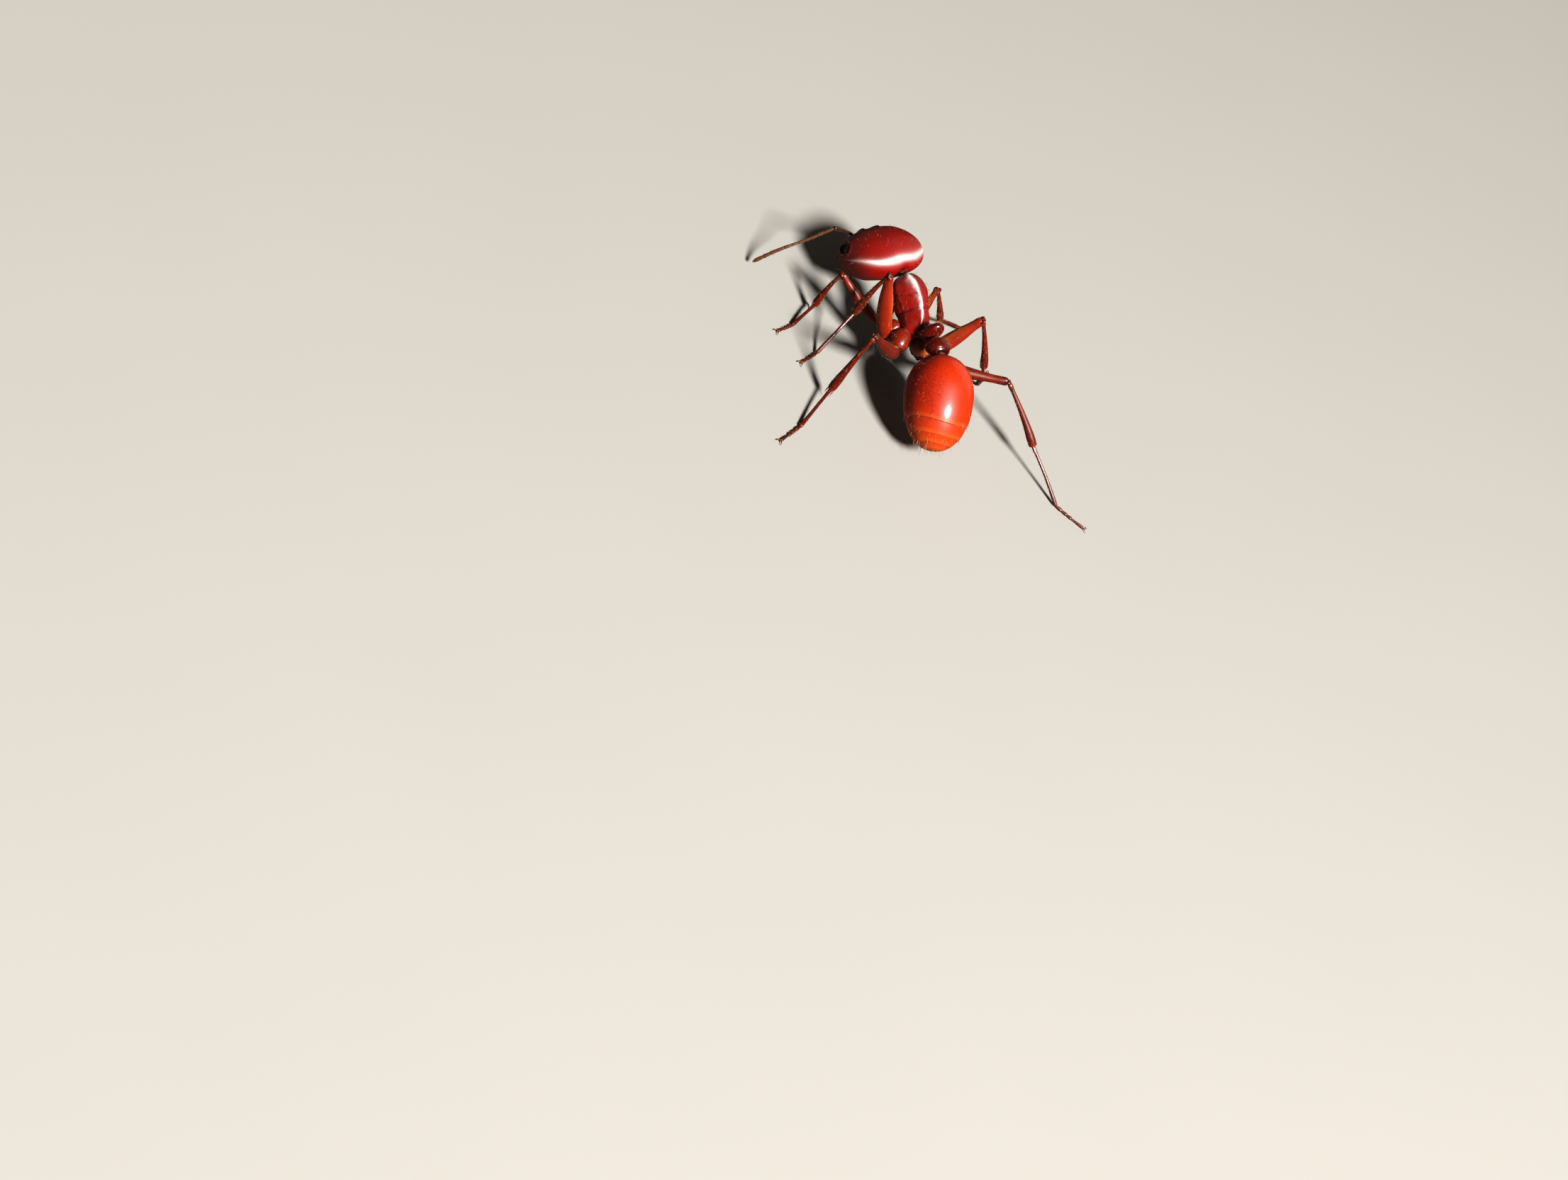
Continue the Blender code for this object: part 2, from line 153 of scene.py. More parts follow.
class Finish:
    # One material, made node by node
    def __init__(self, name):
        self.material = bpy.data.materials.new(name)
        self.material.use_nodes = True
        self.tree = self.material.node_tree
        self.tree.nodes.clear()

    def add(self, kind, settings=None, values=None, output=0):
        made = self.tree.nodes.new(kind)
        for key, setting in (settings or {}).items():
            setattr(made, key, setting)
        for key, value in (values or {}).items():
            if isinstance(value, Value):
                self.tree.links.new(value.socket, made.inputs[key])
            else:
                made.inputs[key].default_value = value
        return Value(self, made.outputs[output]) if made.outputs else None

    def mix(self, share, first, second):
        return self.add("ShaderNodeMix", {"data_type": "RGBA"}, {0: share, 6: first, 7: second}, 2)

    def placeInMillimetres(self):
        place = self.add("ShaderNodeTexCoord", output=3)
        return self.add("ShaderNodeVectorMath", {"operation": "SCALE"}, {0: place, "Scale": 1 / mm})

    def grain(self, size, detail=2.0, roughness=0.5):
        values = {"Vector": self.placeInMillimetres(), "Scale": 1 / size, "Detail": detail,
                  "Roughness": roughness}
        return self.add("ShaderNodeTexNoise", None, values)

    def mark(self, name):
        return self.add("ShaderNodeAttribute", {"attribute_name": name}, output=2)

    def lie(self, way):
        # the place around (0) or along (1) the skin
        spread = self.add("ShaderNodeUVMap", {"uv_map": "lie"})
        return self.add("ShaderNodeSeparateXYZ", None, {"Vector": spread}, output=way)

    def bump(self, height, depth):
        # depth is what a height of 1 stands for, in millimetres
        return self.add("ShaderNodeBump", None, {"Height": height, "Distance": depth * mm})

    def surface(self, sockets):
        shader = self.add("ShaderNodeBsdfPrincipled", None, sockets)
        self.add("ShaderNodeOutputMaterial", None, {"Surface": shader})
        return self.material


def colour(red, green, blue):
    return (red, green, blue, 1.0)


plainShell = {
    # what a shell has unless its own look says otherwise
    "mottle": 0.9,                # how far the clouds mix the deep colour in
    "dulling": 0.10,              # how much rougher the dark parts are, or smoother below 0
    "grit": 0.3,                  # the height of the flecks
    "coat": (0.3, 0.08),          # weight and roughness of the clear coat
    "stretch": (0.0, 0.0),        # how far the shine is drawn out, and its turn
    "ridges": (0, 0),             # number of fine ridges, and whether they cross the piece
    "ridgeHeight": 0.0,
}
shellLooks = {
    # plain, deep and thin-edge colours (the thin-edge one also stands for painted light), roughness,
    # depth of shine, and the weight and reach in millimetres of the light soaked through
    "head": {
        "plain": colour(0.165, 0.0020, 0.0006), "deep": colour(0.042, 0.0010, 0.0005),
        "thinAndLit": colour(0.36, 0.036, 0.007), "roughness": 0.485, "gloss": 2.3, "glow": (0.04, 0.25),
        "dulling": -0.60, "coat": (0.0, 0.1), "stretch": (0.90, 0.25),
        "ridges": (74, 1), "ridgeHeight": 0.0003},
    "trunk": {
        "plain": colour(0.165, 0.0022, 0.0006), "deep": colour(0.028, 0.0010, 0.0006),
        "thinAndLit": colour(0.36, 0.044, 0.009), "roughness": 0.51, "gloss": 2.2, "glow": (0.06, 0.25),
        "mottle": 1.0, "dulling": 0.05, "grit": 0.4, "coat": (0.0, 0.1), "stretch": (1.0, 0.25),
        "ridges": (58, 1), "ridgeHeight": 0.0003},
    "waist": {
        "plain": colour(0.062, 0.0022, 0.0010), "deep": colour(0.013, 0.0009, 0.0006),
        "thinAndLit": colour(0.36, 0.065, 0.015), "roughness": 0.30, "gloss": 1.42, "glow": (0.05, 0.25),
        "mottle": 1.0, "grit": 0.8, "coat": (0.5, 0.06), "ridges": (13, 1), "ridgeHeight": 0.0006},
    "gaster": {
        "plain": colour(0.33, 0.0190, 0.0004), "deep": colour(0.125, 0.0022, 0.0003),
        "thinAndLit": colour(0.42, 0.062, 0.006), "roughness": 0.42, "gloss": 1.34, "glow": (0.35, 0.45),
        "grit": 0.8, "coat": (0.75, 0.13)},
    "leg": {
        "plain": colour(0.155, 0.0105, 0.0019), "deep": colour(0.030, 0.0028, 0.0010),
        "thinAndLit": colour(0.29, 0.070, 0.013), "roughness": 0.30, "gloss": 1.40, "glow": (0.08, 0.25),
        "coat": (0.50, 0.12), "ridges": (26, 0), "ridgeHeight": 0.0006},
    "feeler": {
        "plain": colour(0.040, 0.0138, 0.0058), "deep": colour(0.0145, 0.0047, 0.0026),
        "thinAndLit": colour(0.19, 0.066, 0.022), "roughness": 0.36, "gloss": 1.40, "glow": (0.05, 0.25),
        "mottle": 0.7, "coat": (0.1, 0.1), "ridges": (16, 0), "ridgeHeight": 0.0005},
    "mandible": {
        "plain": colour(0.088, 0.0044, 0.0019), "deep": colour(0.013, 0.0022, 0.0015),
        "thinAndLit": colour(0.26, 0.037, 0.011), "roughness": 0.26, "gloss": 1.45, "glow": (0.03, 0.25),
        "mottle": 0.7, "ridges": (30, 0), "ridgeHeight": 0.0016},
}


def shellFinish(name):
    # Polished shell: mottled, darker in the grooves with painted shade, paler where it is thin and where
    # light is painted on, with fine ridges
    look = {**plainShell, **shellLooks[name]}
    finish = Finish(name + "Shell")
    cloud = finish.grain(0.55, 4.0, 0.65)
    speck = finish.grain(0.035, 2.0)
    fleck = finish.grain(0.060, 3.0, 0.65)
    depth = (finish.mark("dark") + (cloud - 0.45) * look["mottle"] + (fleck - 0.5) * 1.8).clamped()
    paint = finish.mix(depth, look["plain"], look["deep"])
    paint = finish.mix(finish.mark("pale").clamped(), paint, look["thinAndLit"])
    height = speck * 0.25 + fleck * look["grit"]
    if look["ridges"][0]:
        count, across = look["ridges"]
        ridge = (finish.lie(across) * (count * tau) + cloud * 7.0 + speck * 0.8).sine()
        height = height + ridge * (look["ridgeHeight"] / 0.002)
    normal = finish.bump(height, 0.002)
    wear = (cloud - 0.5) * 0.16 + (fleck - 0.5) * 0.20
    roughness = finish.mark("dark") * look["dulling"] + wear + look["roughness"]
    return finish.surface({
        "Base Color": paint, "Roughness": roughness, "Normal": normal, "IOR": look["gloss"],
        "Subsurface Weight": look["glow"][0], "Subsurface Radius": (1.0, 0.22, 0.08),
        "Subsurface Scale": look["glow"][1] * mm, "Coat IOR": 1.38,
        "Coat Weight": look["coat"][0], "Coat Roughness": look["coat"][1],
        "Anisotropic": look["stretch"][0], "Anisotropic Rotation": look["stretch"][1],
    })


def eyeFinish():
    finish = Finish("eyeFacets")
    speck = finish.grain(0.05, 1.0)
    paint = finish.mix(speck, colour(0.0012, 0.0009, 0.0009), colour(0.005, 0.0025, 0.002))
    return finish.surface({"Base Color": paint, "Roughness": speck * 0.1 + 0.22, "IOR": 1.25,
                           "Coat Weight": 0.1, "Coat Roughness": 0.06})


def skinFinish():
    # The soft skin that joins the shells
    finish = Finish("jointSkin")
    folds = finish.grain(0.05, 3.0, 0.6)
    paint = finish.mix(folds, colour(0.034, 0.0050, 0.0014), colour(0.080, 0.015, 0.0040))
    return finish.surface({"Base Color": paint, "Roughness": folds * 0.2 + 0.3,
                           "Normal": finish.bump(folds, 0.01), "Subsurface Weight": 0.2,
                           "Subsurface Radius": (1.0, 0.35, 0.15), "Subsurface Scale": 0.2 * mm})


def bristleFinish():
    finish = Finish("bristle")
    tone = finish.grain(0.3, 1.0)
    paint = finish.mix(tone, colour(0.16, 0.068, 0.022), colour(0.31, 0.17, 0.070))
    return finish.surface({"Base Color": paint, "Roughness": tone * 0.2 + 0.25,
                           "Subsurface Weight": 0.1, "Subsurface Radius": (1.0, 0.5, 0.2),
                           "Subsurface Scale": 0.02 * mm})


def clawFinish():
    finish = Finish("claw")
    tone = finish.grain(0.06, 2.0)
    paint = finish.mix((finish.mark("dark") + tone * 0.4).clamped(), colour(0.16, 0.030, 0.008),
                       colour(0.025, 0.005, 0.003))
    return finish.surface({"Base Color": paint, "Roughness": tone * 0.15 + 0.2,
                           "Coat Weight": 0.3, "Coat Roughness": 0.1})


finishes = {name: shellFinish(name) for name in shellLooks}
finishes.update(eye=eyeFinish(), skin=skinFinish(), bristle=bristleFinish(), claw=clawFinish())
print("finishes made:", len(finishes))


# The shapes that every piece is made of

def curve(a, slopeA, b, slopeB, t):
    # From a to b with these slopes at the two, as t goes from 0 to 1
    return (a * (2 * t**3 - 3 * t**2 + 1) + slopeA * (t**3 - 2 * t**2 + t)
            + b * (3 * t**2 - 2 * t**3) + slopeB * (t**3 - t**2))


def smoothRow(rows, place):
    # Values between the rows of a table, without corners. A row starts with its place.
    rows = sorted(rows)
    place = min(max(place, rows[0][0]), rows[-1][0])
    k = max(i for i in range(len(rows) - 1) if rows[i][0] <= place)
    before, a, b, after = rows[max(k - 1, 0)], rows[k], rows[k + 1], rows[min(k + 2, len(rows) - 1)]
    span = b[0] - a[0]
    return [curve(a[j], (b[j] - before[j]) / (b[0] - before[0]) * span,
                  b[j], (after[j] - a[j]) / (after[0] - a[0]) * span, (place - a[0]) / span)
            for j in range(1, len(a))]


def clamp(value):
    return min(max(value, 0.0), 1.0)


def hump(distance, width):
    # 1 at no distance, and soon nothing beyond the width
    return exp(-(distance / width) ** 2)


def rises(*features):
    # How far small features lift a shell. Each says its height, or depth below 0, the distance from
    # it, its width, and the share of it that shows there.
    return sum(height * hump(distance, width) * share for height, distance, width, share in features)


def evenMarks(dark, pale=0.0):
    # Shell that is as dark and as pale all over
    return lambda along, around: (dark, pale)


def roundedWay(angle, power):
    # A point on a rounded outline: power 2 is a circle, more is boxier
    c, s = cos(angle), sin(angle)
    reach = (abs(c) ** power + abs(s) ** power) ** (-1 / power)
    return c * reach, s * reach


def roundedEnd(share, length):
    # How wide a closed end has grown, this far from its tip
    return sqrt(max(0.0, 1 - (1 - share / length) ** 2)) if share < length else 1.0


class Line:
    # A smooth line through points
    def __init__(self, *points):
        self.points = [Vector(point) for point in points]
        gaps = [(b - a).length for a, b in zip(self.points, self.points[1:])]
        self.length = sum(gaps)
        self.shares = [sum(gaps[:k]) / self.length for k in range(len(self.points))]

    def at(self, share):
        share = clamp(share)
        last = len(self.points) - 2
        k = max(i for i in range(last + 1) if self.shares[i] <= share)
        a, b, start, end = self.points[k], self.points[k + 1], self.shares[k], self.shares[k + 1]
        before, earlier = (self.points[k - 1], self.shares[k - 1]) if k else (a, start)
        after, later = (self.points[k + 2], self.shares[k + 2]) if k < last else (b, end)
        span = end - start
        return curve(a, (b - before) / (end - earlier) * span,
                     b, (after - a) / (later - start) * span, (share - start) / span)

    def onward(self, share):
        return (self.at(share + 0.01) - self.at(share - 0.01)).normalized()


class Form:
    # A closed skin over a rule, which gives its point at a place along and around, each 0 to 1.
    # Marks says how dark and how pale the shell is there.
    def __init__(self, rule, rows, columns, marks=None, ease=0.6):
        self.rule, self.rows, self.columns, self.ease = rule, rows, columns, ease
        self.marks = marks or evenMarks(0.0)

    def rowPlace(self, k):
        share = k / self.rows
        return share * (1 - self.ease) + (0.5 - 0.5 * cos(pi * share)) * self.ease

    def steps(self, along, around, edge=0.0):
        # a small step onward and one sideways over the skin, both clear of its ends by the edge
        step = 0.004
        ahead, behind = min(along + step, 1 - edge), max(along - step, edge)
        return (self.rule(ahead, around) - self.rule(behind, around),
                self.rule(along, around + step) - self.rule(along, around - step))

    def stretch(self, along, around):
        # how much skin a small step both ways covers there
        onward, sideways = self.steps(along, around)
        return onward.cross(sideways).length

    def spot(self, along, around):
        # the point there, and the ways outward and onward
        onward, sideways = self.steps(along, around, 0.0005)
        point = self.rule(along, around)
        outward = sideways.cross(onward).normalized()
        if outward.dot(point - self.rule(along, around + 0.5)) < 0:
            outward.negate()
        return point, outward, onward.normalized()


class Piece:
    # Gathers forms into one mesh object that stands for some of the solids
    def __init__(self, name, finish, slot):
        self.name, self.finish, self.slotName = name, finish, slot
        self.points, self.faces, self.lie, self.dark, self.pale = [], [], [], [], []

    def point(self, place, marks=(0.0, 0.0)):
        self.points.append(place)
        self.dark.append(marks[0])
        self.pale.append(marks[1])
        return len(self.points) - 1

    def face(self, corners, lies):
        self.faces.append(corners)
        self.lie.extend(lies)

    def add(self, form):
        rows, columns = form.rows, form.columns
        start = self.point(form.rule(0.0, 0.0), form.marks(0.0, 0.0))
        rings = []
        for k in range(1, rows):
            along = form.rowPlace(k)
            rings.append([self.point(form.rule(along, j / columns), form.marks(along, j / columns))
                          for j in range(columns)])
        end = self.point(form.rule(1.0, 0.0), form.marks(1.0, 0.0))
        places = [form.rowPlace(k) for k in range(1, rows)]
        for j in range(columns):
            left, right, middle = j / columns, (j + 1) / columns, (j + 0.5) / columns
            near = (j + 1) % columns
            self.face((start, rings[0][j], rings[0][near]),
                      ((middle, 0.0), (left, places[0]), (right, places[0])))
            self.face((end, rings[-1][near], rings[-1][j]),
                      ((middle, 1.0), (right, places[-1]), (left, places[-1])))
            for low, high, a, b in zip(rings, rings[1:], places, places[1:]):
                self.face((low[j], high[j], high[near], low[near]),
                          ((left, a), (left, b), (right, b), (right, a)))
        return self

    def build(self, *nodes, lying=None):
        # lying gives the object's own axes, which the stretch of its gloss goes round
        mesh = bpy.data.meshes.new(self.name)
        mesh.from_pydata([point * mm for point in self.points], [], self.faces)
        axes = lying or Matrix()
        mesh.transform(axes.inverted())
        spread = mesh.uv_layers.new(name="lie")
        spread.data.foreach_set("uv", [value for pair in self.lie for value in pair])
        for name, values in (("dark", self.dark), ("pale", self.pale)):
            mesh.attributes.new(name, "FLOAT", "POINT").data.foreach_set("value", values)
        return settle(self.name, mesh, self.finish, nodes, axes)


def settle(name, mesh, finish, nodes=(), axes=Matrix()):
    # Put a finished mesh in the scene, facing outwards, as part of the ant
    form = bmesh.new()
    form.from_mesh(mesh)
    bmesh.ops.recalc_face_normals(form, faces=form.faces)
    form.to_mesh(mesh)
    form.free()
    mesh.shade_smooth()
    mesh.materials.append(finishes[finish])
    made = bpy.data.objects.new(name, mesh)
    made.matrix_world = axes
    bpy.context.scene.collection.objects.link(made)
    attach(made, "root")
    if nodes:
        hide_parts(*nodes)
    return made


def limb(points, girths, hint, rows, columns, ends=(0.03, 0.03), marks=None, relief=None):
    # A limb swept along a line. A girth row is its share of the way, half width and, where that
    # differs, half depth. The hint is roughly the way of its depth.
    line = points if isinstance(points, Line) else Line(*points)
    girths = [(*row, row[1])[:3] for row in girths]

    def rule(along, around):
        onward = line.onward(along)
        level = onward.cross(hint).normalized()
        upright = level.cross(onward)
        width, depth = smoothRow(girths, along)
        size = roundedEnd(along, ends[0]) * roundedEnd(1 - along, ends[1])
        angle = tau * around
        out = level * (cos(angle) * width) + upright * (sin(angle) * depth)
        if relief:
            out += out.normalized() * relief(along, around)
        return line.at(along) + out * size

    return Form(rule, rows, columns, marks)


def heading(side, turn, rise):
    turn, rise = radians(turn), radians(rise)
    return Vector((side * cos(turn) * cos(rise), -sin(turn) * cos(rise), sin(rise)))


def boxMiddle(node):
    low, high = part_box(node)
    return (low + high) / 2 / mm


# The head

headSizes = {
    "width": 2.57, "length": 2.41, "thickness": 1.63,
    "boxiness": 2.3, "rearBoxiness": 2.9, "mouthNarrowing": 0.20, "mouthFlattening": 0.38,
    "vertexNotch": 0.025, "notchWidth": 0.5, "rearDrop": 0.14,
    "underFlattening": 0.22,
    "eyeSize": (0.20, 0.16, 0.13),           # half length, half height, half depth
    "facets": 420,
    "socket": (0.72, 0.36, 0.52),            # where a feeler is hinged
    "neckHole": (-1.02, -0.06, -0.46), "jawHinge": (0.98, 0.60, -0.10),
}


def headRelief(f, l, u):
    # Small rises and hollows of the head's shell, left and right alike
    aside, face, throat = abs(l), clamp(u / 0.25), clamp(-u / 0.3)
    keel = abs(aside - (0.17 + (0.80 - f) * 0.24)) + max(0.0, f - 0.82) + max(0.0, 0.30 - f)
    root = Vector((f - 0.74, aside - 0.38)).length
    lip = 1.06 - 0.30 * aside * aside
    neck = (Vector((f, l, u)) - Vector(headSizes["neckHole"])).length
    hinge = (Vector((f, aside, u)) - Vector(headSizes["jawHinge"])).length
    return rises(
        (0.055, keel, 0.055, face),                                     # keel beside each feeler
        (-0.085, root, 0.13, face),                                     # pit round its root
        (0.030, f - lip, 0.06, hump(aside, 0.55) * face),               # front edge over the jaws
        (-0.022, f - (lip - 0.17), 0.035, hump(aside, 0.30) * face),    # groove behind the edge
        (-0.010, l, 0.022, hump(f - 0.15, 0.55) * face),                # line down the forehead
        (-0.10, neck, 0.17, 1),
        (-0.035, hinge, 0.16, 1),
        (-0.05, aside, 0.24, hump(f - 0.75, 0.38) * throat),            # bed of the mouthparts
        (-0.012, l, 0.02, hump(f + 0.3, 0.6) * throat))                 # seam under the head


def headLocal(along, around):
    # Rows run from the right side (0) to the left, and go round from the mouth over the top. How far
    # the shell lies each way is found by halving.
    size, power = headSizes, headSizes["boxiness"]
    beam, square = sin(pi * along), size["rearBoxiness"]
    way = Vector((beam * cos(tau * around), -cos(pi * along), beam * sin(tau * around)))
    near, far = 0.0, 2.0
    for halving in range(18):
        reach = (near + far) / 2
        place = way.x * reach / (size["length"] / 2)
        if abs(place) < 1:
            front = max(place, 0.0)
            girth = (1 - abs(place) ** power) ** (1 / power)
            breadth = girth if place > 0 else (1 - abs(place) ** square) ** (1 / square)
            wide = size["width"] / 2 * breadth * (1 - size["mouthNarrowing"] * front**2)
            tall = size["thickness"] / 2 * girth * (1 - size["mouthFlattening"] * front**1.5)
            tall *= 1 - size["underFlattening"] * max(-place, 0.0) * (way.z < 0)
            inside = abs(way.y * reach / wide) ** power + abs(way.z * reach / tall) ** power < 1
        else:
            inside = False
        near, far = (reach, far) if inside else (near, reach)
    spot = way * near
    middle = max(0.0, 1 - (spot.y / size["width"] * 2 / size["notchWidth"]) ** 2)
    rear = max(-spot.x / (size["length"] / 2), 0.0)
    spot.x += size["vertexNotch"] * rear**2 * middle
    spot.z -= size["rearDrop"] * rear**1.5
    return spot


def eyeGap(spot):
    return min((spot - centre).length for centre in eyeCentres)


def headRule(along, around):
    spot = headLocal(along, around)
    half = (headSizes["length"], headSizes["width"], headSizes["thickness"])
    outward = Vector([spot[i] / half[i] ** 2 for i in range(3)]).normalized()
    ripple = 0.006 * noise.noise(spot * 2.6)
    gap = eyeGap(spot)
    rim = -0.030 * hump(gap - 0.215, 0.035) + 0.012 * hump(gap - 0.29, 0.04)
    return head.at(*(spot + outward * (headRelief(*spot) + ripple + rim)))


def headMarks(along, around):
    # Darker in the hollows with painted shade, at the mouth and round the eyes, and dark and polished over
    # the face
    spot = headLocal(along, around)
    # painted shade: the deeper a hollow, the darker its shell
    paintedHollowShade = max(0.0, -headRelief(*spot) * 9)
    mouth = max(0.0, spot[0] - 0.95) * 2.2
    rim = 0.7 * hump(eyeGap(spot) - 0.20, 0.03)
    face = 0.30 * clamp(spot[0] / 0.5)
    return clamp(paintedHollowShade + mouth + rim + face), 0.0


eyeCentres = [Vector(head.place(boxMiddle("eye_" + sideName))) for sideName in sides]
headForm = Form(headRule, 116, 140, headMarks, ease=0.0)
Piece("headShell", "head", "head").add(headForm).build("head", lying=head.axes(True))


def shellOutward(spot):
    # The way out of the head's shell at a place in the head's frame
    half = (headSizes["length"], headSizes["width"], headSizes["thickness"])
    away = [abs(spot[i] * 2 / half[i]) ** 1.3 / half[i] * (1 if spot[i] > 0 else -1) for i in range(3)]
    return head.way(*away).normalized()


def buildEye(sideName):
    # A bead of small domed facets in rows, like seeds on a flower head
    centre = boxMiddle("eye_" + sideName)
    outward = shellOutward(Vector(head.place(centre)))
    onward = (head.forward - outward * head.forward.dot(outward)).normalized()
    upright = outward.cross(onward)
    long, tall, deep = headSizes["eyeSize"]

    def onBead(spot):
        return centre + onward * spot.x * long + upright * spot.y * tall + outward * spot.z * deep

    def beadRule(along, around):
        spot = Vector((sin(pi * along) * cos(tau * around), sin(pi * along) * sin(tau * around),
                       cos(pi * along)))
        return onBead(spot * 0.97)

    piece = Piece("eye_" + sideName + "_facets", "eye", "eye")
    piece.add(Form(beadRule, 24, 36))
    count, golden, rim, crown = headSizes["facets"], pi * (3 - sqrt(5)), 7, 3
    for k in range(count):
        z = 1 - 1.25 * (k + 0.5) / count
        ring = sqrt(1 - z * z)
        axis = Vector((ring * cos(golden * k), ring * sin(golden * k), z))
        level = axis.cross(Vector((0.3, 0.5, 0.81))).normalized()
        upward = axis.cross(level)
        reach = 1.06 * sqrt(2.5 / count)
        rows = []
        for step in range(crown):
            tilt = (1 - step / crown) * reach
            lift = 0.955 + 0.050 * sin(pi / 2 * step / crown)
            rows.append([piece.point(onBead((axis + (level * cos(tau * j / rim)
                                     + upward * sin(tau * j / rim)) * tilt).normalized() * lift))
                         for j in range(rim)])
        top = piece.point(onBead(axis * 1.008))
        for low, high in zip(rows, rows[1:]):
            for j in range(rim):
                near = (j + 1) % rim
                piece.face((low[j], low[near], high[near], high[j]), ((0, 0),) * 4)
        for j in range(rim):
            piece.face((rows[-1][j], rows[-1][(j + 1) % rim], top), ((0, 0),) * 3)
    return piece.build("eye_" + sideName)


jawShape = {
    # places in the head's frame, forwards and left, of the outer and inner edges, then height and
    # half thickness, from hinge to tip
    "rows": ((0.00, 0.80, 0.66, 0.84, 0.40, -0.08, 0.16),
             (0.25, 1.06, 0.725, 1.02, 0.36, -0.12, 0.155),
             (0.50, 1.28, 0.64, 1.13, 0.24, -0.17, 0.13),
             (0.75, 1.44, 0.45, 1.27, 0.12, -0.21, 0.09),
             (1.00, 1.535, 0.13, 1.49, 0.06, -0.24, 0.03)),
    "teeth": 6, "toothLength": 0.085, "toothRadius": 0.042,
}


def buildMandible(sideName):
    side = sides[sideName]

    def edges(along):
        outerF, outerL, innerF, innerL, height, thick = smoothRow(jawShape["rows"], along)
        return (head.at(outerF, side * outerL, height), head.at(innerF, side * innerL, height), thick)

    def rule(along, around):
        outer, inner, thick = edges(along)
        centre, width = (outer + inner) / 2, (outer - inner) / 2
        across, upward = roundedWay(tau * around, 2.3)
        arch = -0.06 * (1 - across * across) * sin(pi * along)
        size = roundedEnd(along, 0.06) * roundedEnd(1 - along, 0.03)
        return centre + (width * across + head.up * (thick * upward)) * size - head.up * arch

    def marks(along, around):
        inner = max(0.0, -cos(tau * around))
        return min(1.0, 0.15 + 0.9 * max(0.0, along - 0.45) + inner * along * 0.8), 0.0

    piece = Piece("mandible_" + sideName + "_jaw", "mandible", "mandible")
    piece.add(Form(rule, 44, 30, marks))
    for k in range(jawShape["teeth"]):
        share = 0.50 + 0.48 * k / (jawShape["teeth"] - 1)
        outer, inner, thick = edges(share)
        way = ((inner - outer).normalized() + head.forward * 0.55).normalized()
        length = jawShape["toothLength"] * (1.25 if k == jawShape["teeth"] - 1 else 1 - 0.05 * (k % 2))
        radius = jawShape["toothRadius"]
        base = inner - way * radius
        tip = base + way * (length + radius) - head.up * 0.01
        piece.add(limb((base, tip), ((0, radius), (0.6, radius * 0.62), (1, 0.008)), head.up, 8, 10,
                       (0.05, 0.05), evenMarks(1.0)))
    return piece.build("mandible_" + sideName)


def buildMouthparts():
    # The upper lip, the folded tongue and two pairs of short palps under the head
    piece = Piece("mouthparts", "feeler", "mandible")
    lip = ((1.02, 0, 0.02), (1.13, 0, -0.10), (1.16, 0, -0.24))
    piece.add(limb([head.at(*p) for p in lip], ((0, 0.20, 0.06), (0.5, 0.22, 0.07), (1, 0.14, 0.04)),
                   head.forward, 14, 18, (0.15, 0.2)))
    tongue = ((0.55, 0, -0.50), (0.85, 0, -0.44), (1.08, 0, -0.33))
    piece.add(limb([head.at(*p) for p in tongue],
                   ((0, 0.16, 0.10), (0.6, 0.18, 0.11), (1, 0.10, 0.07)), head.up, 16, 18, (0.2, 0.2)))
    for side in sides.values():
        for start, length in ((0.95, 0.34), (0.75, 0.44)):
            root = (start, side * 0.17, -0.48)
            elbow = (start + length * 0.35, side * 0.25, -0.60)
            tip = (start + length, side * 0.20, -0.62)
            piece.add(limb([head.at(*p) for p in (root, elbow, tip)],
                           ((0, 0.026), (0.45, 0.020), (0.55, 0.028), (0.92, 0.022), (1, 0.012)),
                           head.up, 16, 8))
    return piece.build()


for sideName in sides:
    buildEye(sideName)
    buildMandible(sideName)
buildMouthparts()
print("head, eyes and jaws made")


# The feelers

feelerShape = {
    "scapeLength": 1.71, "scapeRadius": 0.050, "beads": 11, "beadRadius": 0.046,
    "clubRadius": 0.062, "floorGap": 0.10,
    # scape's way in the head's frame, and the feeler's tip from the trunk's own place
    "left": ((-0.44, 0.83, 0.34), (4.13, -2.43, 0.33)),
    "right": ((0.80, -0.55, -0.26), (-2.90, -3.45, 0.33)),
}


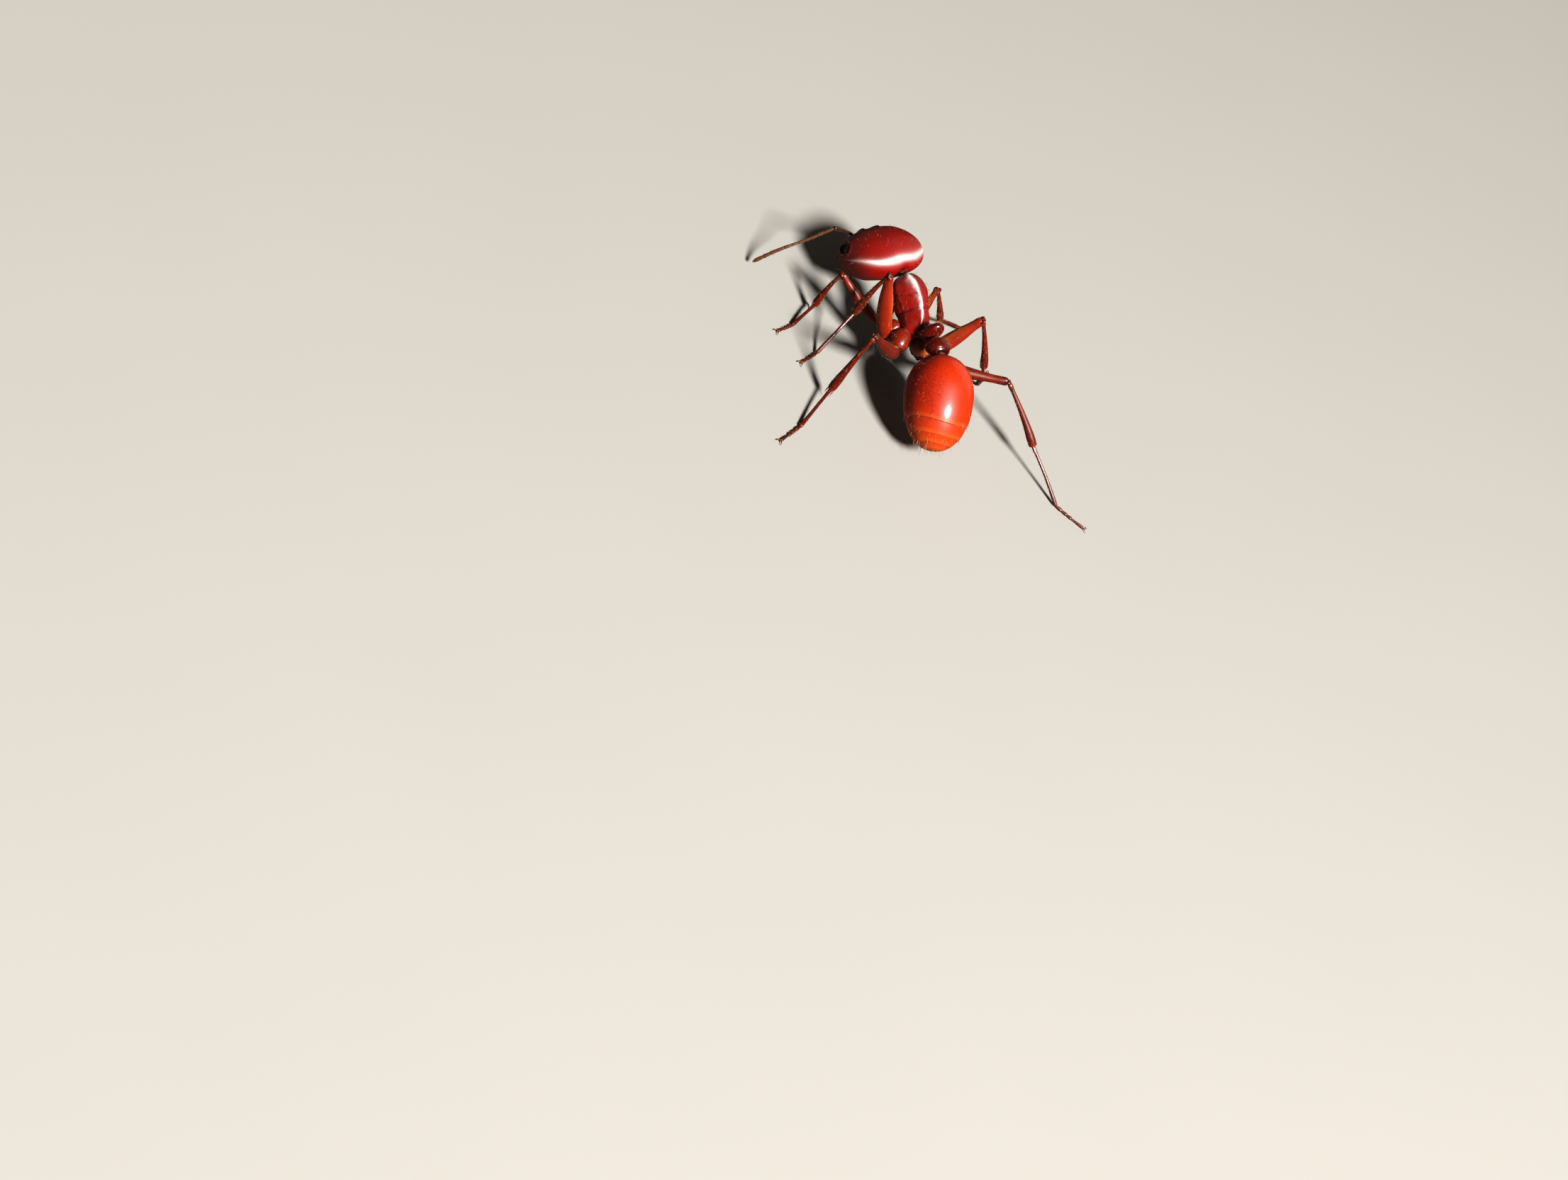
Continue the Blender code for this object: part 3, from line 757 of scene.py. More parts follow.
def buildFeeler(sideName):
    side = sides[sideName]
    forwards, aside, height = headSizes["socket"]
    way, tip = feelerShape[sideName]
    way = head.way(*way).normalized()
    socket = head.at(forwards, side * aside, height)
    elbow = socket + way * feelerShape["scapeLength"]
    tip = Vector(tip) + Vector((*stance["standShift"], -feelerShape["floorGap"]))
    radius = feelerShape["scapeRadius"]
    outward = shellOutward(Vector((forwards, side * aside, height)))

    scape = Piece("scape_" + sideName + "_shell", "feeler", "feeler")
    bulb = socket - outward * 0.08
    neck = socket + outward * 0.02 + way * 0.04
    bow = outward * (0.05 if side > 0 else -0.03)
    scape.add(limb((bulb, neck), ((0, 0.062), (0.45, 0.066), (0.75, 0.036), (1, 0.036)), way, 12, 16,
                   (0.3, 0.1), evenMarks(0.5, 0.4)))
    line = Line(neck - way * 0.03, socket + way * 0.30 + bow * 1.3,
                socket + way * 0.95 + bow, elbow)
    scapeForm = limb(line, ((0, 0.036), (0.10, 0.046), (0.5, radius * 0.92), (0.86, radius * 1.15),
                            (0.97, radius * 1.25, radius * 1.2), (1, radius)), outward, 46, 18, (0.02, 0.02),
                     lambda along, around: (0.30 + 0.3 * hump(along - 1, 0.08), 0.35 * hump(along, 0.1)))
    scape.add(scapeForm).build("scape_" + sideName)

    reach = tip - elbow
    lift = Vector((0, 0, 1)) - reach.normalized() * reach.normalized().z
    line = Line(elbow - way * 0.01 + reach * 0.01, elbow + reach * 0.32 - lift * 0.03,
                elbow + reach * 0.68 + lift * 0.09, tip)
    beads, small, club = feelerShape["beads"], feelerShape["beadRadius"], feelerShape["clubRadius"]
    borders = [0.0, 0.13]
    borders += [0.13 + 0.73 * ((k + 1) / (beads - 2)) ** 1.08 for k in range(beads - 2)] + [1.0]

    def girth(along):
        k = max(i for i in range(beads) if borders[i] <= min(along, 0.9999))
        share = (along - borders[k]) / (borders[k + 1] - borders[k])
        waist = 0.22 * exp(-share / 0.10) + 0.10 * exp(-(1 - share) / 0.05)
        size = small + (club - small) * max(0.0, (k - 5) / (beads - 6)) ** 0.8
        if k == beads - 1:
            waist += 0.75 * max(0.0, share - 0.45) ** 2 / 0.55**2
        return size * (0.90 + 0.14 * share) * (1 - waist), 0.55 * (waist > 0.12) + 0.1

    funiculus = Piece("funiculus_" + sideName + "_shell", "feeler", "feeler")
    rows = [(k / 260, girth(k / 260)[0]) for k in range(261)]
    whipForm = limb(line, rows, outward, 150, 16, (0.006, 0.02),
                    lambda along, around: (girth(along)[1], 0.15))
    funiculus.add(whipForm).build("funiculus_" + sideName)
    return scapeForm, whipForm


feelerForms = {sideName: buildFeeler(sideName) for sideName in sides}
print("feelers made")


# The trunk and the waist

trunkShape = {
    # place forwards, half width, top and bottom
    "rows": ((1.05, 0.20, 0.32, 0.00), (0.98, 0.35, 0.41, -0.15), (0.75, 0.555, 0.545, -0.34),
             (0.45, 0.625, 0.615, -0.47), (0.10, 0.555, 0.575, -0.55), (-0.20, 0.475, 0.495, -0.60),
             (-0.50, 0.445, 0.415, -0.60), (-0.74, 0.415, 0.295, -0.54), (-0.89, 0.315, 0.12, -0.42),
             (-0.97, 0.19, -0.02, -0.30)),
    "boxiness": 2.2,
    "narrowing": 0.32,          # how much narrower the trunk is at its top
    "spiracle": (-0.60, 0.41, 0.00), "gland": (-0.74, 0.36, -0.28),
}
waistShape = {
    # the same rows for the two knots
    "knots": {
        "petiole": ((-0.95, 0.15, 0.02, -0.25), (-1.00, 0.21, 0.43, -0.22), (-1.05, 0.275, 0.69, -0.15),
                    (-1.12, 0.305, 0.80, -0.08), (-1.22, 0.305, 0.81, -0.02), (-1.30, 0.255, 0.71, 0.03),
                    (-1.355, 0.17, 0.46, 0.08), (-1.40, 0.12, 0.36, 0.12)),
        "postpetiole": ((-1.36, 0.13, 0.38, 0.14), (-1.46, 0.26, 0.55, 0.06), (-1.58, 0.35, 0.69, 0.02),
                        (-1.72, 0.39, 0.73, 0.04), (-1.88, 0.36, 0.72, 0.12), (-2.02, 0.27, 0.65, 0.22))},
    "boxiness": 2.1,
    "ripple": 0.0015,           # height of the fine wrinkles across a knot
}


def barrelLocal(rows, along, around, boxiness, narrowing=0.0):
    front, rear = rows[0][0], rows[-1][0]
    place = front + (rear - front) * along
    half, top, bottom = smoothRow(rows, place)
    across, upward = roundedWay(tau * around, boxiness)
    size = roundedEnd(along, 0.045) * roundedEnd(1 - along, 0.045)
    middle, tall = (top + bottom) / 2, (top - bottom) / 2
    half *= 1 - narrowing * max(upward, 0.0)
    return Vector((place, half * across * size, middle + tall * upward * size))


def trunkRelief(f, l, u):
    # Sutures, the spiracle and the gland's swelling on the trunk's shell
    aside = abs(l)
    flank, spot = clamp((aside - 0.20) / 0.15), Vector((f, aside, u))
    hole = (spot - Vector(trunkShape["spiracle"])).length
    swelling = (spot - Vector(trunkShape["gland"])).length
    return rises(
        (-0.012, f - 0.95, 0.040, 1),                                               # collar
        (-0.016, f - (0.16 + 0.55 * max(0.0, 0.25 - u)), 0.026, flank),             # sutures across
        (-0.022, f + 0.30 - 0.15 * max(0.0, 0.3 - u), 0.05, 1),
        (-0.016, u + 0.06 - 0.25 * f, 0.032, hump(f - 0.01, 0.22) * flank),         # sutures along
        (-0.016, u + 0.22 + 0.35 * (f + 0.6), 0.032, hump(f + 0.60, 0.20) * flank),
        (0.030, f + 0.02, 0.16, hump(u + 0.30, 0.18) * flank),                      # over the mid hip
        (0.010, hole - 0.035, 0.016, 1),
        (-0.012, hole, 0.018, 1),
        (0.05, swelling, 0.13, 1),
        (0.022, aside - 0.16, 0.05, hump(f + 0.80, 0.14) * (u > 0)))                # low ridges behind


def trunkLocal(along, around):
    return barrelLocal(trunkShape["rows"], along, around, trunkShape["boxiness"], trunkShape["narrowing"])


def trunkRule(along, around):
    spot = trunkLocal(along, around)
    outward = Vector((0.0, spot[1], spot[2] + 0.05)).normalized()
    wave = 0.010 * noise.noise(spot * 3.1) + 0.004 * noise.noise(spot * 8)
    return trunk.at(*(spot + outward * (trunkRelief(*spot) + wave)))


def trunkMarks(along, around):
    # Darker in the sutures with painted shade, and at the collar
    spot = trunkLocal(along, around)
    # painted shade: the deeper a groove, the darker its shell
    paintedGrooveShade = max(0.0, -trunkRelief(*spot) * 22)
    collar = 0.8 * hump(spot[0] - 1.0, 0.28)
    return clamp(paintedGrooveShade + collar), 0.0


def waistRule(rows):
    def rule(along, around):
        spot = barrelLocal(rows, along, around, waistShape["boxiness"])
        outward = Vector((0.0, spot[1], 0.2)).normalized()
        wrinkle = sin(tau * (spot[2] * 9 + spot[0] * 6 + 1.2 * noise.noise(spot * 4)))
        return trunk.at(*(spot + outward * waistShape["ripple"] * wrinkle))
    return rule


def buildTrunk():
    piece = Piece("trunkShell", "trunk", "trunk")
    form = Form(trunkRule, 210, 96, trunkMarks, ease=0.2)
    piece.add(form).build("pronotum", "mesothorax", "propodeum", lying=trunk.axes())
    waists = []
    for name, rows in waistShape["knots"].items():
        waist = Form(waistRule(rows), 64, 56,
                     lambda along, around: (0.7 * hump(along - 1, 0.1) + 0.5 * hump(along, 0.1), 0.0))
        Piece(name + "Shell", "waist", "trunk").add(waist).build(name)
        waists.append(waist)
    neck = Piece("neckSkin", "skin", "trunk")
    start, end = trunk.at(0.97, 0, 0.16), head.at(-0.84, -0.03, -0.46)
    rings = lambda along, around: 0.012 * sin(tau * along * 4)
    neck.add(limb((start, (start + end) / 2 + trunk.up * 0.02, end),
                  ((0, 0.13, 0.12), (0.5, 0.12, 0.11), (1, 0.15, 0.14)), trunk.up, 30, 24,
                  (0.1, 0.1), relief=rings))
    neck.build("neck")
    skin = Piece("waistSkin", "skin", "trunk")
    for start, end, radius in (((-0.90, 0, -0.17), (-1.02, 0, -0.12), 0.10),
                               ((-1.30, 0, 0.24), (-1.42, 0, 0.26), 0.11),
                               ((-1.92, 0, 0.42), (-2.12, 0, 0.35), 0.16)):
        skin.add(limb((trunk.at(*start), trunk.at(*end)), ((0, radius), (1, radius)), trunk.up, 10, 20,
                      (0.2, 0.2)))
    skin.build()
    return form, waists


trunkForm, waistForms = buildTrunk()
print("trunk and waist made")


# The gaster

gasterShape = {
    "length": 2.97, "width": 2.17, "flatness": 0.96, "waistline": 0.18, "fullness": 2.2,
    "plates": (("gaster_1", 0.0, 0.70), ("gaster_2", 0.70, 0.85), ("gaster_3", 0.85, 0.94),
               ("gaster_tip", 0.94, 1.0)),
    "bow": 0.075,             # how far the plates' edges reach back along the top
    "step": 0.020,            # a plate's rear edge stands this far above the next plate
    "tuck": 0.05,             # how far a plate runs in under the one ahead
    "lip": 0.90,              # where along a plate its rear edge turns in
    "closing": 0.04,          # where along a plate it has opened from its hidden front end
    "rimWidth": 0.0392,       # of the pale rear edge
    "sideSeams": (0.955, 0.545),          # places around
    "hairs": (130, 30, 24, 20),           # on each plate
    "fringe": (0.84, 0.895),              # where along a plate its row of long hairs stands
}


def sideSeams(around, width):
    return sum(hump(around - place, width) for place in gasterShape["sideSeams"])


def gasterLocal(share, around, drop=0.0):
    size = gasterShape
    share += size["bow"] * sin(pi * clamp(share)) * max(0.0, sin(tau * around)) ** 1.5
    place = size["length"] * (0.5 - share)
    nose = size["length"] / 2 - size["waistline"]
    tail = size["length"] / 2 + size["waistline"]
    reach = (place - size["waistline"]) / (nose if place > size["waistline"] else tail)
    girth = (1 - min(abs(reach), 1.0) ** size["fullness"]) ** (1 / size["fullness"])
    radius = max(girth * size["width"] / 2 - drop, 0.0)
    angle = tau * around
    radius *= 1 - 0.016 * sideSeams(around, 0.012) * min(1.0, radius)
    return Vector((place, radius * cos(angle), radius * size["flatness"] * sin(angle)))


def plateForm(start, end):
    size = gasterShape
    first, last = max(start - size["tuck"], 0.0), end
    lip = size["lip"] if end < 1 else 1.0

    def local(along, around):
        if start == 0:
            share = first + (last - first) * (1 - cos(min(along / lip, 1) * pi / 2))
        elif end == 1:
            share = first + (last - first) * sin(along * pi / 2)
        else:
            share = first + (last - first) * min(along / lip, 1)
        within = (share - start) / (end - start)
        sunk = size["step"] * (1 - clamp(within) ** 3) if start > 0 else 0.0
        spot = gasterLocal(share, around, sunk)
        if along > lip:
            inward = 1 - (along - lip) / (1 - lip)
            spot = Vector((spot[0] + 0.012 * (1 - inward) ** 0.5, spot[1] * inward, spot[2] * inward))
        if start > 0 and along < size["closing"]:
            opened = along / size["closing"]
            spot = Vector((spot[0], spot[1] * opened, spot[2] * opened))
        return spot, within

    def rule(along, around):
        spot, within = local(along, around)
        outward = Vector((0.3 * spot[0], spot[1], spot[2])).normalized() if along < lip else Vector()
        swell = 0.006 * noise.noise(spot * 1.5)
        return gaster.at(*(spot + outward * swell))

    def marks(along, around):
        spot, within = local(along, around)
        share, rim, width = start + (end - start) * within, 1 - within, size["rimWidth"] / (end - start)
        edge = 0.9 * hump(rim, width * 0.13) if end < 1 else 0.0
        flank = cos(tau * around)       # painted shade: both flanks darker, the left one most, as if lit from the right
        side = (0.75 if flank > 0 else 0.2) * abs(flank) ** 2.5 * max(0.0, 1 - 0.9 * share)
        belt = 0.15 * hump(share - 0.45, 0.18)
        below = 0.30 * max(0.0, -sin(tau * around))
        tucked = 0.8 if start > 0 and within < 0 else 0.0
        collar = 0.5 * hump(within, 0.06) if start == 0 else 0.0
        dark = edge + side + 0.7 * sideSeams(around, 0.008) + belt + below + tucked + collar
        pale = 0.75 * hump(rim - width * 0.55, width * 0.6) if along <= lip else 0.2
        # painted light: the rear plates paler, standing in for light thrown back up from below
        rear = 0.9 * max(0.0, share - 0.62)
        return min(1.0, dark), min(1.0, pale * 0.6 + rear)

    return Form(rule, 90 if start == 0 else 34, 96, marks, ease=0.0)


gasterForms = []
for node, start, end in gasterShape["plates"]:
    form = plateForm(start, end)
    gasterForms.append(form)
    Piece(node + "_plate", "gaster", "gaster").add(form).build(node)
print("gaster made")


# The legs

legShape = {
    # femur, tibia, basal tarsal joint and toes
    "lengths": {"fore": (2.12, 1.45, 1.20, 0.80), "mid": (2.38, 1.80, 1.60, 0.95),
                "hind": (2.75, 2.28, 1.95, 1.25)},
    # root, tip (left side, trunk's frame) and thickest radius of a coxa
    "coxae": {"fore": ((0.52, 0.30, -0.42), (-0.16, 0.57, -1.00), 0.26),
              "mid": ((-0.36, 0.30, -0.50), (-0.70, 0.64, -0.94), 0.25),
              "hind": ((-0.74, 0.26, -0.42), (-1.36, 0.62, -0.76), 0.33)},
    "hipShift": {"mid_right": (-0.30, 0.26, -0.24)},
    # femur (turn, rise), tibia (turn, rise), basal joint's turn, toes' turn
    "pose": {"fore_left": ((37, 20), (-60, -84), -36, -24), "mid_left": ((38, 57), (-60, -86), -40, -30),
             "hind_left": ((-18, 32), (-62, -80), -42, -32), "fore_right": ((44, 16), (-15, -51), 4, 18),
             "mid_right": ((7, 61), (-40, -52), 24, 36), "hind_right": ((-28, 20), (-49, -30), -57, -41)},
    "femurRadius": {"fore": 0.160, "mid": 0.245, "hind": 0.225},
    # how dark a femur is, and how pale its streaks are
    "femurTone": {"fore": (0.25, 0.3), "mid": (0.0, 0.7), "hind": (0.48, 0.1)},
    # girths: share of the way, and width and depth as shares of the radius
    "coxaGirth": ((0, 0.75), (0.2, 0.95), (0.45, 0.98), (0.75, 0.90), (0.93, 0.72), (1, 0.60)),
    "trochanterGirth": ((0, 0.80), (0.35, 1.0), (0.7, 0.98), (1, 0.70)),
    "femurGirth": {
        "fore": ((0, 0.46), (0.07, 0.55), (0.20, 0.84, 0.92), (0.40, 0.98, 1.0), (0.62, 0.88, 0.90),
                 (0.84, 0.60, 0.62), (0.95, 0.56, 0.66), (1, 0.50)),
        "mid": ((0, 0.46), (0.06, 0.62), (0.16, 0.90, 0.94), (0.40, 1.0, 1.0), (0.62, 0.90, 0.90),
                (0.84, 0.62, 0.62), (0.95, 0.54, 0.60), (1, 0.46)),
        "hind": ((0, 0.60), (0.05, 0.90), (0.14, 1.08, 1.04), (0.30, 1.0, 1.0), (0.55, 0.78, 0.80),
                 (0.80, 0.56, 0.58), (0.95, 0.52, 0.60), (1, 0.46))},
    "kneeLobeGirth": ((0, 0.5), (0.6, 0.9, 1.15), (1, 0.7, 1.0)),
    "tibiaGirth": ((0, 0.50), (0.05, 0.60), (0.12, 0.48), (0.35, 0.58), (0.65, 0.80), (0.86, 1.0),
                   (0.97, 0.94), (1, 0.80)),
    "combGirth": ((0, 1.0), (0.3, 0.8, 1.3), (0.8, 0.5, 0.9), (1, 0.2)),
    "spurGirth": ((0, 1.0), (0.5, 0.7), (1, 0.15)),
    "heelGirth": ((0, 0.90), (0.05, 1.05), (0.2, 0.92), (0.6, 0.95), (0.9, 1.12), (1, 1.05)),
    "toeGirth": ((0, 0.55), (0.2, 0.68), (0.75, 1.02, 0.85), (1, 1.0, 0.75)),
    "lastToeGirth": ((0, 0.45), (0.2, 0.55), (0.7, 0.80), (1, 0.95, 0.8)),
    "clawGirth": ((0, 1.1), (0.4, 0.85), (0.8, 0.45), (1, 0.15)),
    "padGirth": ((0, 0.8), (1, 1.0, 0.8)),
    "tibiaRadius": {"fore": 0.115, "mid": 0.125, "hind": 0.135},
    # how pale a coxa's ends are, and how far from each; the right hind coxa's pale end is painted light
    # shining through its shell
    "coxaPaintedLight": {"hind_right": (1.0, 0.02, 0.60)}, "usualCoxaGlow": (0.10, 0.02, 0.10),
    "soleHeight": 0.231,        # of the middle of the solids' feet, which fixes the heel's slope
    "heelHeight": 0.080, "toeHeight": 0.052, "footRadius": 0.055,
    "trochanterRadius": 0.112, "kneeLobeRadius": 0.062, "clawRadius": 0.020, "padRadius": 0.028,
    "socketDepth": 0.13,        # how far before the hip a coxa's own shell ends
    "coxaBow": 0.05, "thighBow": 0.05, "shinBow": 0.035, "heelBow": 0.03, "toeSag": 0.018,
    "kneeShare": 0.36,          # how far aside the knee's lobes stand, as a share of the thigh
    # points along the shin and inwards of the comb, and along, aside and inwards of a spur
    "combRadius": 0.034, "comb": ((0.17, -0.10), (0.36, -0.02)),
    "spurRadius": 0.024, "spur": ((0.12, 0.03, 0.0), (0.25, 0.03, 0.04)),
    # points onward and up of a claw, and how far aside it spreads
    "claw": ((0.07, 0.022), (0.125, -0.004), (0.150, -0.036)), "clawSpread": 0.75,
    "toeShares": (0.0, 0.21, 0.38, 0.53, 0.90),
}


def taper(radius, *rows):
    # Girth rows whose widths and depths are shares of one radius
    return [(row[0], *(radius * share for share in row[1:])) for row in rows]


def jointMarks(dark, pale, start, end):
    # Shell that is paler at its two ends, and dark in between by the given shares
    def marks(along, around):
        tips = hump(along, start) + hump(along - 1, end)
        return dark + 0.25 * tips, pale * tips
    return marks


def femurMarks(dark, streak):
    # Shell that is paler at its root and in a streak along both edges, and darker at its knee
    def marks(along, around):
        lane = streak * abs(sin(tau * around)) ** 4 * sin(pi * along)
        return dark + 0.30 * hump(along - 1, 0.12), 0.4 * hump(along, 0.04) + lane
    return marks


class Leg:
    # The places and ways of one leg, and a function for each of its pieces
    def __init__(self, pair, sideName):
        size, side, key = legShape, sides[sideName], pair + "_" + sideName
        self.pair, self.side, self.key = pair, side, key
        femurLength, tibiaLength, heelLength, toeLength = size["lengths"][pair]
        femurPose, tibiaPose, heelTurn, toeTurn = size["pose"][key]
        root, tip, self.coxaRadius = size["coxae"][pair]
        self.thigh, self.shin = size["femurRadius"][pair], size["tibiaRadius"][pair]
        shift = size["hipShift"].get(key, (0.0, 0.0, 0.0))
        self.root = trunk.at(root[0], side * root[1], root[2])
        self.hip = trunk.at(tip[0] + shift[0], side * (tip[1] + shift[1]), tip[2] + shift[2])
        self.knee = self.hip + heading(side, *femurPose) * femurLength
        self.ankle = self.knee + heading(side, *tibiaPose) * tibiaLength
        drop = degrees(asin(min(1.0, (self.ankle.z - size["soleHeight"]) / heelLength)))
        self.heel = self.ankle + heading(side, heelTurn, -drop) * heelLength
        toe = self.heel + heading(side, toeTurn, 0.0) * toeLength
        self.heel.z, toe.z = size["heelHeight"], size["toeHeight"]
        self.coxaWay = (self.hip - self.root).normalized()
        self.femurWay = (self.knee - self.hip).normalized()
        self.tibiaWay = (self.ankle - self.knee).normalized()
        self.heelWay = (self.heel - self.ankle).normalized()
        self.toeWay = (toe - self.heel).normalized()
        self.plane = self.femurWay.cross(self.tibiaWay).normalized()     # square to the bent leg
        self.up = Vector((0, 0, 1))
        self.socket = self.hip - self.coxaWay * size["socketDepth"]
        self.toeLine = Line(self.heel, self.heel.lerp(toe, 0.35) - self.up * size["toeSag"], toe)

    def shell(self, name):
        return Piece(name + "_" + self.key + "_shell", "leg", "leg")

    def coxa(self):
        # with the small trochanter that turns the corner to the femur
        middle = self.root.lerp(self.socket, 0.5) + heading(self.side, 0, 0) * legShape["coxaBow"]
        # the right hind coxa's paler end is painted light shining through the shell
        glow = legShape["coxaPaintedLight"].get(self.key, legShape["usualCoxaGlow"])
        form = limb((self.root, middle, self.socket), taper(self.coxaRadius, *legShape["coxaGirth"]),
                    self.plane, 40, 32, (0.08, 0.05), jointMarks(0.34, *glow))
        bend = (self.coxaWay + self.femurWay).normalized()
        line = (self.socket - self.coxaWay * 0.06, self.socket + bend * 0.07,
                self.hip + self.femurWay * 0.10)
        rows = taper(legShape["trochanterRadius"], *legShape["trochanterGirth"])
        trochanter = limb(line, rows, self.plane, 18, 24, (0.2, 0.15), jointMarks(0.30, 0.7, 0.2, 0.2))
        self.shell("coxa").add(form).add(trochanter).build("coxa_" + self.key)
        return form

    def femur(self):
        # with the two lobes that hold the knee
        hip, knee, way = self.hip, self.knee, self.femurWay
        depth = self.plane.cross(way)
        bow = depth * legShape["thighBow"]
        line = (hip + way * 0.06, hip.lerp(knee, 0.35) + bow, hip.lerp(knee, 0.7) + bow * 0.6, knee)
        form = limb(line, taper(self.thigh, *legShape["femurGirth"][self.pair]), depth, 56, 32,
                    (0.02, 0.03), femurMarks(*legShape["femurTone"][self.pair]))
        piece = self.shell("femur").add(form)
        rows = taper(legShape["kneeLobeRadius"], *legShape["kneeLobeGirth"])
        for lobe in (-1, 1):
            cheek = knee + self.plane * (lobe * self.thigh * legShape["kneeShare"])
            piece.add(limb((cheek - way * 0.18, cheek + way * 0.075), rows, self.plane, 14, 16,
                           (0.2, 0.4), evenMarks(0.75)))
        piece.build("femur_" + self.key)
        return form

    def tibia(self):
        # with the curved comb that cleans the feeler on a fore leg, and two spurs on the others
        knee, ankle, way = self.knee, self.ankle, self.tibiaWay
        bow = self.plane.cross(way) * -legShape["shinBow"]
        line = (knee + way * 0.03, knee.lerp(ankle, 0.35) + bow, knee.lerp(ankle, 0.7) + bow, ankle)
        form = limb(line, taper(self.shin, *legShape["tibiaGirth"]), self.plane, 52, 26, (0.02, 0.02),
                    jointMarks(0.60, 0.4, 0.05, 0.03))
        piece = self.shell("tibia").add(form)
        inward = (self.heelWay - way * self.heelWay.dot(way)).normalized()
        if self.pair == "fore":
            base = ankle - way * 0.06 - inward * self.shin * 0.5
            points = [base + way * along + inward * inside for along, inside in legShape["comb"]]
            piece.add(limb((base, *points), taper(legShape["combRadius"], *legShape["combGirth"]), inward,
                           20, 12, (0.05, 0.1), evenMarks(0.1, 0.7)))
        else:
            for lobe in (-1, 1):
                base = ankle + self.plane * (lobe * self.shin * 0.55) - way * 0.04
                points = [base + way * along + self.plane * lobe * aside + inward * inside
                          for along, aside, inside in legShape["spur"]]
                piece.add(limb((base, *points), taper(legShape["spurRadius"], *legShape["spurGirth"]),
                               self.plane, 14, 10, (0.05, 0.1), evenMarks(0.2, 0.5)))
        piece.build("tibia_" + self.key)
        return form

    def tarsus(self):
        # the long basal joint, and four toes in a row
        foot, up, line, away = legShape["footRadius"], self.up, self.toeLine, self.heel - self.ankle
        bow = away.cross(up).cross(away).normalized() * legShape["heelBow"]
        heelForm = limb((self.ankle - self.heelWay * 0.03, self.ankle.lerp(self.heel, 0.5) + bow, self.heel),
                        taper(foot, *legShape["heelGirth"]), up, 44, 18, (0.015, 0.015),
                        jointMarks(0.74, 0.3, 0.03, 0.03))
        piece, shares = self.shell("tarsus").add(heelForm), legShape["toeShares"]
        for first, last in zip(shares, shares[1:]):
            girth = "lastToeGirth" if last == shares[-1] else "toeGirth"
            points = (line.at(first) - self.toeWay * 0.02, line.at((first + last) / 2), line.at(last))
            piece.add(limb(points, taper(foot, *legShape[girth]), up, 20, 16, (0.08, 0.10),
                           jointMarks(0.76, 0.3, 0.12, 0.08)))
        piece.build("tarsus_" + self.key)
        toeForm = limb((self.heel, line.at(0.45), line.at(0.9)), taper(foot, (0, 0.8), (1, 0.8)), up, 20, 12)
        return heelForm, toeForm

    def claws(self):
        # two claws and the pad between them
        up, way = self.up, self.toeWay
        piece = Piece("claws_" + self.key, "claw", "leg")
        base = self.toeLine.at(legShape["toeShares"][-1]) - way * 0.01
        across = way.cross(up).normalized()
        for lobe in (-1, 1):
            spread = way + across * (lobe * legShape["clawSpread"])
            points = [base + spread * onward + up * height for onward, height in legShape["claw"]]
            piece.add(limb((base + across * lobe * 0.02, *points),
                           taper(legShape["clawRadius"], *legShape["clawGirth"]), up, 18, 10,
                           (0.06, 0.06), lambda along, around: (along, 0.0)))
        piece.add(limb((base, base + way * 0.07 - up * 0.012),
                       taper(legShape["padRadius"], *legShape["padGirth"]), up, 8, 12, (0.2, 0.5)))
        piece.build()

    def skins(self):
        # the soft skin in the hip, the knee, the ankle and the coxa's socket
        piece = Piece("jointSkins_" + self.key, "skin", "leg")
        knee = self.thigh * legShape["kneeShare"]
        for middle, way, radius in ((self.hip + self.femurWay * 0.03, self.femurWay, 0.078),
                                    (self.knee - self.femurWay * 0.01, self.femurWay, knee),
                                    (self.ankle + self.heelWay * 0.01, self.tibiaWay, 0.055),
                                    (self.socket, self.coxaWay, 0.105)):
            piece.add(limb((middle - way * radius, middle + way * radius), ((0, radius), (1, radius)),
                           self.plane, 12, 16, (0.45, 0.45)))
        piece.build()

    def build(self):
        forms = {"coxa": self.coxa(), "femur": self.femur(), "tibia": self.tibia()}
        forms["heel"], forms["toes"] = self.tarsus()
        self.claws()
        self.skins()
        return forms


legForms = {}
for pair in legShape["lengths"]:
    for sideName in sides:
        legForms[pair + "_" + sideName] = Leg(pair, sideName).build()
print("legs made:", len(legForms))


# The hairs

coats = {
    # number, shortest and longest, radius at the root, lean back from upright and bend in degrees
    "headHairs": (120, 0.06, 0.14, 0.0042, 40, 22),
    "beard": (90, 0.22, 0.50, 0.0055, 48, 50),
    "lipHairs": (46, 0.16, 0.34, 0.0055, 30, 25),
    "trunkHairs": (150, 0.08, 0.19, 0.0045, 30, 22),
    "waistHairs": (44, 0.08, 0.18, 0.0045, 30, 22),
    "gasterHairs": (130, 0.06, 0.13, 0.0042, 48, 25),
    "plateFringe": (64, 0.10, 0.20, 0.0055, 52, 20),
    "tipHairs": (60, 0.14, 0.32, 0.0060, 35, 22),
    "thighHairs": (56, 0.05, 0.11, 0.0042, 45, 18),
    "shinHairs": (84, 0.05, 0.11, 0.0045, 46, 15),
    "heelHairs": (70, 0.04, 0.08, 0.0042, 42, 12),
    "toeHairs": (60, 0.03, 0.06, 0.0042, 42, 12),
    "feelerDown": (620, 0.022, 0.042, 0.0030, 48, 15),
}
draws = random.Random(7)


